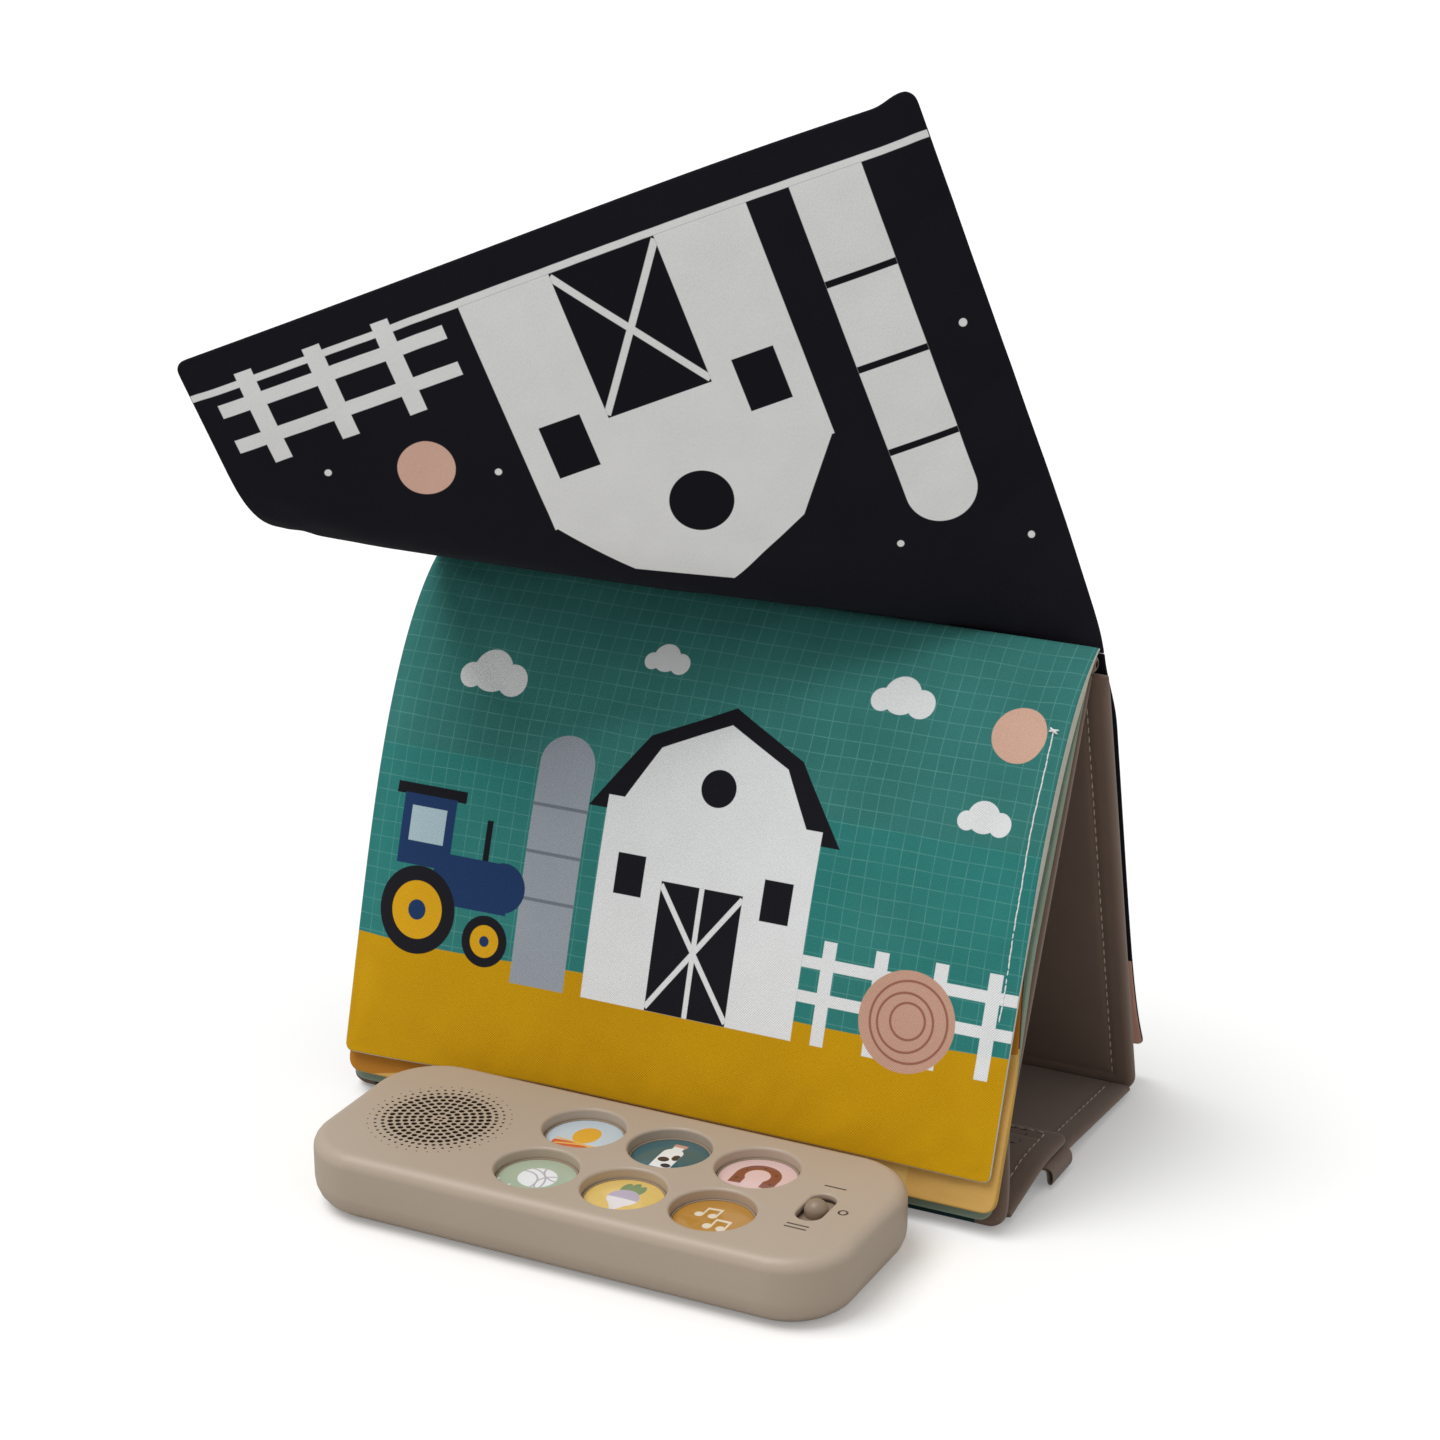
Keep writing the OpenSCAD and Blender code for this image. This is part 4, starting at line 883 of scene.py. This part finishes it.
def farm_yard(p):
    """Front of the first leaf: a barn, a tractor, a bale and a fence on a mustard field."""
    wash = p.noise(34, 3)
    sky = printed("33756f", (wash, "46938d"), (p.noise(60, 2) & block(p, 0, 60, 211, 160), "2b8d88"))
    sky = sky.mix(shade("7cbcb4"), grid(p, 4.9, 0.22) * 0.6)
    split = p.node("SeparateXYZ", {}, {0: p})
    down = Dye(split.tree, split.socket.node.outputs[1])
    field = ink(117.5 + split.math("SINE", split * 0.05) * 0.8 - down, 0)
    barn = block(p, 78, 64, 146, 124) | patch(p, (82, 66), (92, 48), (112, 38), (132, 48), (142, 66))
    roof = patch(p, (72, 68), (88, 45), (112, 33), (136, 45), (152, 68))
    door = block(p, 99, 86, 125, 124)
    braces = bar(p, 99, 87, 125, 123, 1.6) | bar(p, 99, 123, 125, 87, 1.6) | block(p, 111.2, 86, 112.8, 124)
    panes = block(p, 84, 80, 93, 92) | block(p, 131, 80, 140, 92) | spot(p, 112, 57, 5.5)
    silo = block(p, 54, 58, 72, 124) | spot(p, 63, 58, 9)
    hoops = block(p, 54, 70, 72, 71) | block(p, 54, 84, 72, 85) | block(p, 54, 98, 72, 99)
    tyre = spot(p, 20, 108, 13) | spot(p, 44, 113.5, 7.6)
    rim = spot(p, 20, 108, 8.6) | spot(p, 44, 113.5, 4.8)
    hub = spot(p, 20, 108, 3) | spot(p, 44, 113.5, 1.6)
    engine = block(p, 24, 90, 50, 105) | block(p, 11, 74, 29, 95) | spot(p, 48, 97, 7.4)
    glass = block(p, 14, 77.5, 26, 88)
    pipe = block(p, 40, 78, 42, 91) | block(p, 8, 71, 32, 74.5)
    bale = spot(p, 180, 112, 14.5)
    coil = hoop(p, 180.6, 112, 11.6, 0.7) | hoop(p, 179.6, 112.3, 8.4, 0.7) | hoop(p, 180.3, 111.8, 5.2, 0.7)
    posts = block(p, 152, 94, 156, 124) | block(p, 168, 94, 172, 124)
    posts = posts | block(p, 186, 94, 190, 124) | block(p, 202, 94, 206, 124)
    rails = block(p, 146, 99, 211, 102.4) | block(p, 146, 109, 211, 112.4)
    puffs = cloud(p, 32, 34, 6.4) | cloud(p, 160, 22, 5.6) | cloud(p, 86, 22, 4.2) | cloud(p, 192, 52, 4.6)
    white = posts | rails | puffs
    picture = sky.mix(printed("d29b08", (wash, "e4b00c")), field)
    for mask, code in ((white, "f9fbfc"), (silo, "a9b1bb"), (hoops & silo, "7f8791"), (roof, "1b1a21"),
                       (barn, "fafcfd"), (door | panes, "1b1a21"), (braces & door, "fafcfd"),
                       (pipe, "1b1a21"), (engine, "24406e"), (glass, "bcd6de"), (tyre, "1f1e25"),
                       (rim, "f0b51c"), (hub, "24406e"), (bale, "d9ab95"), (coil & bale, "a86f5d"),
                       (spot(p, 197, 28, 8), "e9bda6")):
        picture = picture.mix(shade(code), mask)
    return picture


def night_barn(p):
    """Back of the leaf in mid-turn: a white barn, silo and fence against a dark sky, head down as seen from
    the front."""
    hall = block(p, 78, 78, 160, 148) | patch(p, (78, 79), (94, 58), (119, 46), (144, 58), (160, 79))
    gate = block(p, 104, 104, 134, 148)
    cross = bar(p, 104, 105, 134, 147, 2) | bar(p, 104, 147, 134, 105, 2)
    panes = block(p, 85, 92, 97, 108) | block(p, 141, 92, 153, 108) | spot(p, 119, 72, 9)
    tower = block(p, 172, 52, 192, 148) | spot(p, 182, 52, 10)
    bands = block(p, 172, 66, 192, 68) | block(p, 172, 92, 192, 94) | block(p, 172, 118, 192, 120)
    posts = block(p, 14, 124, 19, 152) | block(p, 34, 124, 39, 152) | block(p, 54, 124, 59, 152)
    rails = block(p, 6, 130, 72, 134) | block(p, 6, 141, 72, 145)
    moon = spot(p, 52, 108, 8)
    stars = spot(p, 201, 30, 1) | spot(p, 70, 100, 1) | spot(p, 166, 40, 1) | spot(p, 203, 96, 1.2)
    stars = stars | spot(p, 26, 116, 1)
    ground = block(p, -5, 148, 220, 150)
    white = hall | tower | posts | rails | stars | ground
    return printed("19181f", (p.noise(40, 2) * 0.6, "1f1e28"), (white, "ffffff"),
                   (gate | panes | bands, "19181f"), (cross & gate, "ffffff"), (moon, "f3c6b2"))


def hills(p):
    near_hill, far_hill = spot(p, 60, 200, 92), spot(p, 170, 205, 84)
    clouds = cloud(p, 60, 40, 9) | cloud(p, 150, 62, 7)
    return printed("a9c7d3", (clouds, "f0f3f4"), (far_hill, "8aa383"), (near_hill, "6f8d6d"))


def corn_field(p):
    rays = bar(p, -10, 150, 230, 96, 26) | bar(p, -10, 40, 230, 76, 22)
    return printed("e3b25e", (p.noise(30, 2) * 0.6, "e9bf74"), (rays, "c4822f"),
                   (spot(p, 150, 150, 34), "edc878"), (spot(p, 60, 60, 16), "f0d59a"))


def dotted(ground, mark, pace, r):
    """Dots in offset rows, an everyday pattern."""
    def paint(p):
        split = p.node("SeparateXYZ", {}, {0: p})
        down = Dye(split.tree, split.socket.node.outputs[1])
        fold_x = split.math("PINGPONG", split, pace)
        fold_y = down.math("PINGPONG", down, pace)
        cell = fold_x.node("CombineXYZ", {}, {0: fold_x, 1: fold_y})
        dots = spot(cell, 0, 0, r) | spot(cell, pace, pace, r)
        return printed(ground, (p.noise(30, 2) * 0.4, mark), (dots, mark))
    return paint


side_cloth = cloth("grey_turning", plain("cbc9ba", "d6d3c6"))
green_edge = cloth("green_turning", plain("8d9c88", "9fae98"))
corn_edge = cloth("corn_turning", lambda p: printed("5d3a31", (block(p, 0, 112, 230, 200), "d9ab55")))
night_cloth = cloth("night_print", night_barn, rough=0.85, sheen=0.0)
yard_cloth = cloth("yard_print", farm_yard, twill=0.7, bump=0.4)
hill_cloth = cloth("hill_print", hills)
corn_cloth = cloth("corn_print", corn_field)
sage_cloth = cloth("sage_print", dotted("85998a", "a9b8a6", 11, 1.4))
peach_cloth = cloth("peach_print", lambda p: printed("17161e", (block(p, 0, 108, 230, 200), "f0b9a6")))
cream_cloth = cloth("cream_print", dotted("e2d8c4", "cdbfa4", 13, 1.8))
star_cloth = cloth("star_print", dotted("17161e", "d5dade", 17, 1.0))
black_edge = cloth("black_turning", plain("17161e", "201f28"))
LEAVES = (("sage", front_leaf(4.9, 1.8, HEM_N, 3, 2, LEAF_L + 0.8, (2.2, 0.4)), LEAF_L + 0.8, 1, 4,
           (sage_cloth, cream_cloth, green_edge)),
          ("ochre", front_leaf(5.9, 2.5, HEM_N + LAY, 8, 6.4, LEAF_L - 0.9, (2, -1.8)), LEAF_L - 0.9, 1, 4,
           (corn_cloth, cream_cloth, corn_edge)),
          ("teal", front_leaf(6.9, 4.1, HEM_N + 2 * LAY, 9.3, 7.5, LEAF_L - 8, droop=2.8), LEAF_L - 8, 1,
           2.2, (yard_cloth, cream_cloth, side_cloth)),
          ("turned", turned_leaf, LEAF_L, 1, 3, (hill_cloth, night_cloth, black_edge)),
          ("rear", rear_leaf, LEAF_L - 16, -1, 3, (star_cloth, peach_cloth, black_edge)))
THICK_SIDE = {"teal": (3.7, 0, 0.36), "ochre": (1.9, 0.72), "sage": (2.2, 0.1, 0.6)}
BORDER = [0, 0.5, 1.2, 2.2, 4, 6.5]
# What each leaf is sewn to, and how far along it and above it the bend at its sewn end reaches.
SEWN_TO = {"sage": ("book", 12, 0), "ochre": ("sage_leaf", 12, 0), "teal": ("ochre_leaf", 12, 0),
           "turned": ("book", 4.2, 5.6), "rear": ("rear", 12, 0)}
WADDING_PRESS, WADDING_CAP = 0.6, 0.0006
for name, place, length, facing, corner, materials in LEAVES:
    us, vs = rows(LEAF_W, BORDER, 3.4), rows(length, BORDER, 3.4)
    thick = leaf_thick(length, *THICK_SIDE.get(name, ()))
    made = sewn_pad(f"{name}_leaf_pad", us, vs, place, thick, 0.35, facing, materials, corner)
    flat = np.zeros(3 * len(made.data.vertices), np.float32)
    made.data.attributes["flat"].data.foreach_get("vector", flat)
    flat = flat.reshape(-1, 3)
    inset = np.minimum(flat[:, :2], np.array([LEAF_W, length]) - flat[:, :2]).min(axis=1)
    fill_with_wadding(made, np.clip(1 - inset / 5, 0, 1), WADDING_PRESS, WADDING_CAP)
    soften(made)
    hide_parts(f"{name}_leaf", f"{name}_wadding")
    holder, run, above = SEWN_TO[name]
    sewn_end, bent_end = place(np.full(2, LEAF_W / 2), np.array([0, run])) / 1000
    bent_end = bent_end + above / 1000 * fold_up
    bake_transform(made)


# Closing seam: the first leaf was filled through a gap in its right side, which is shut by hand with white
# thread, knotted at both ends.
thread_white = moulded("thread_white", "f7f9f8", 0.7)
teal_place, teal_length = LEAVES[2][1], LEAVES[2][2]
down = np.linspace(25, 107, 120)
wander = 0.1 * np.sin(down * 0.21) + 0.05 * np.sin(down * 1.1 + 1)
seam_at = LEAF_W - 4.2 + wander
outward = np.array([0, -math.sin(SLOPE_F), math.cos(SLOPE_F)])
seam_thick = leaf_thick(teal_length, *THICK_SIDE["teal"])(seam_at, down)[:, None]
line = teal_place(seam_at, down) + outward * (seam_thick / 2 + 0.12)
up_seam = unit(line[0] - line[8])
knots = []
KNOTS = ((0, 1.3, 0.3), (0, -0.9, 0.5), (4, 0.25, 0.25), (8, -0.3, 0.3), (-1, 0.2, 0.2), (-5, -0.2, 0.2))
for at, sideways, lift in KNOTS:
    reach = np.array([sideways, 0, 0]) + up_seam * (1.1 - 0.6 * abs(sideways))
    knots.append(([line[at] - reach + outward * lift, line[at] + reach + outward * lift], outward))
for label, runs, thick in (("stitches", [(line, outward)], 0.48), ("knots", knots, 0.8)):
    seam = sew(f"closing_{label}", runs, thread_white, step=2.1, long=3.1, thick=thick)
    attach(seam, "teal_leaf")


# Studio: a wide pale floor under even light, with one soft lamp high on the left. Floor and sky are white
# to the camera alone, so the light on the book stays plain.
floor_mesh = bpy.data.meshes.new("floor")
floor_mesh.from_pydata([(-9, -9, 0), (9, -9, 0), (9, 9, 0), (-9, 9, 0)], [], [(0, 1, 2, 3)])
floor = bpy.data.objects.new("floor", floor_mesh)
scene.collection.objects.link(floor)
constants = {"Roughness": 0.9, "Specular IOR Level": 0.1, "Emission Strength": 0.2}
paper, shader, place = finish_of("floor_paper", constants)
seen = place.node("LightPath", {}, {})
feed(shader, colour=printed("c8c8c6", (seen, "f7f7f6")), glow=seen.grey())
floor_mesh.materials.append(paper)
world = bpy.data.worlds.new("studio")
world.use_nodes = True
scene.world = world
sky = world.node_tree.nodes["Background"]
sky.inputs["Strength"].default_value = 0.5
seen = Dye(world.node_tree, None).node("LightPath", {}, {})
world.node_tree.links.new((seen + 1).grey().socket, sky.inputs["Color"])
lamp = bpy.data.objects.new("soft_lamp", bpy.data.lights.new("soft_lamp", "SUN"))
lamp.data.energy = 1.55
lamp.data.angle = math.radians(38)
lamp.rotation_euler = Vector((0.3, 0.3, -1)).to_track_quat("-Z", "Y").to_euler()
scene.collection.objects.link(lamp)

bpy.context.view_layer.update()
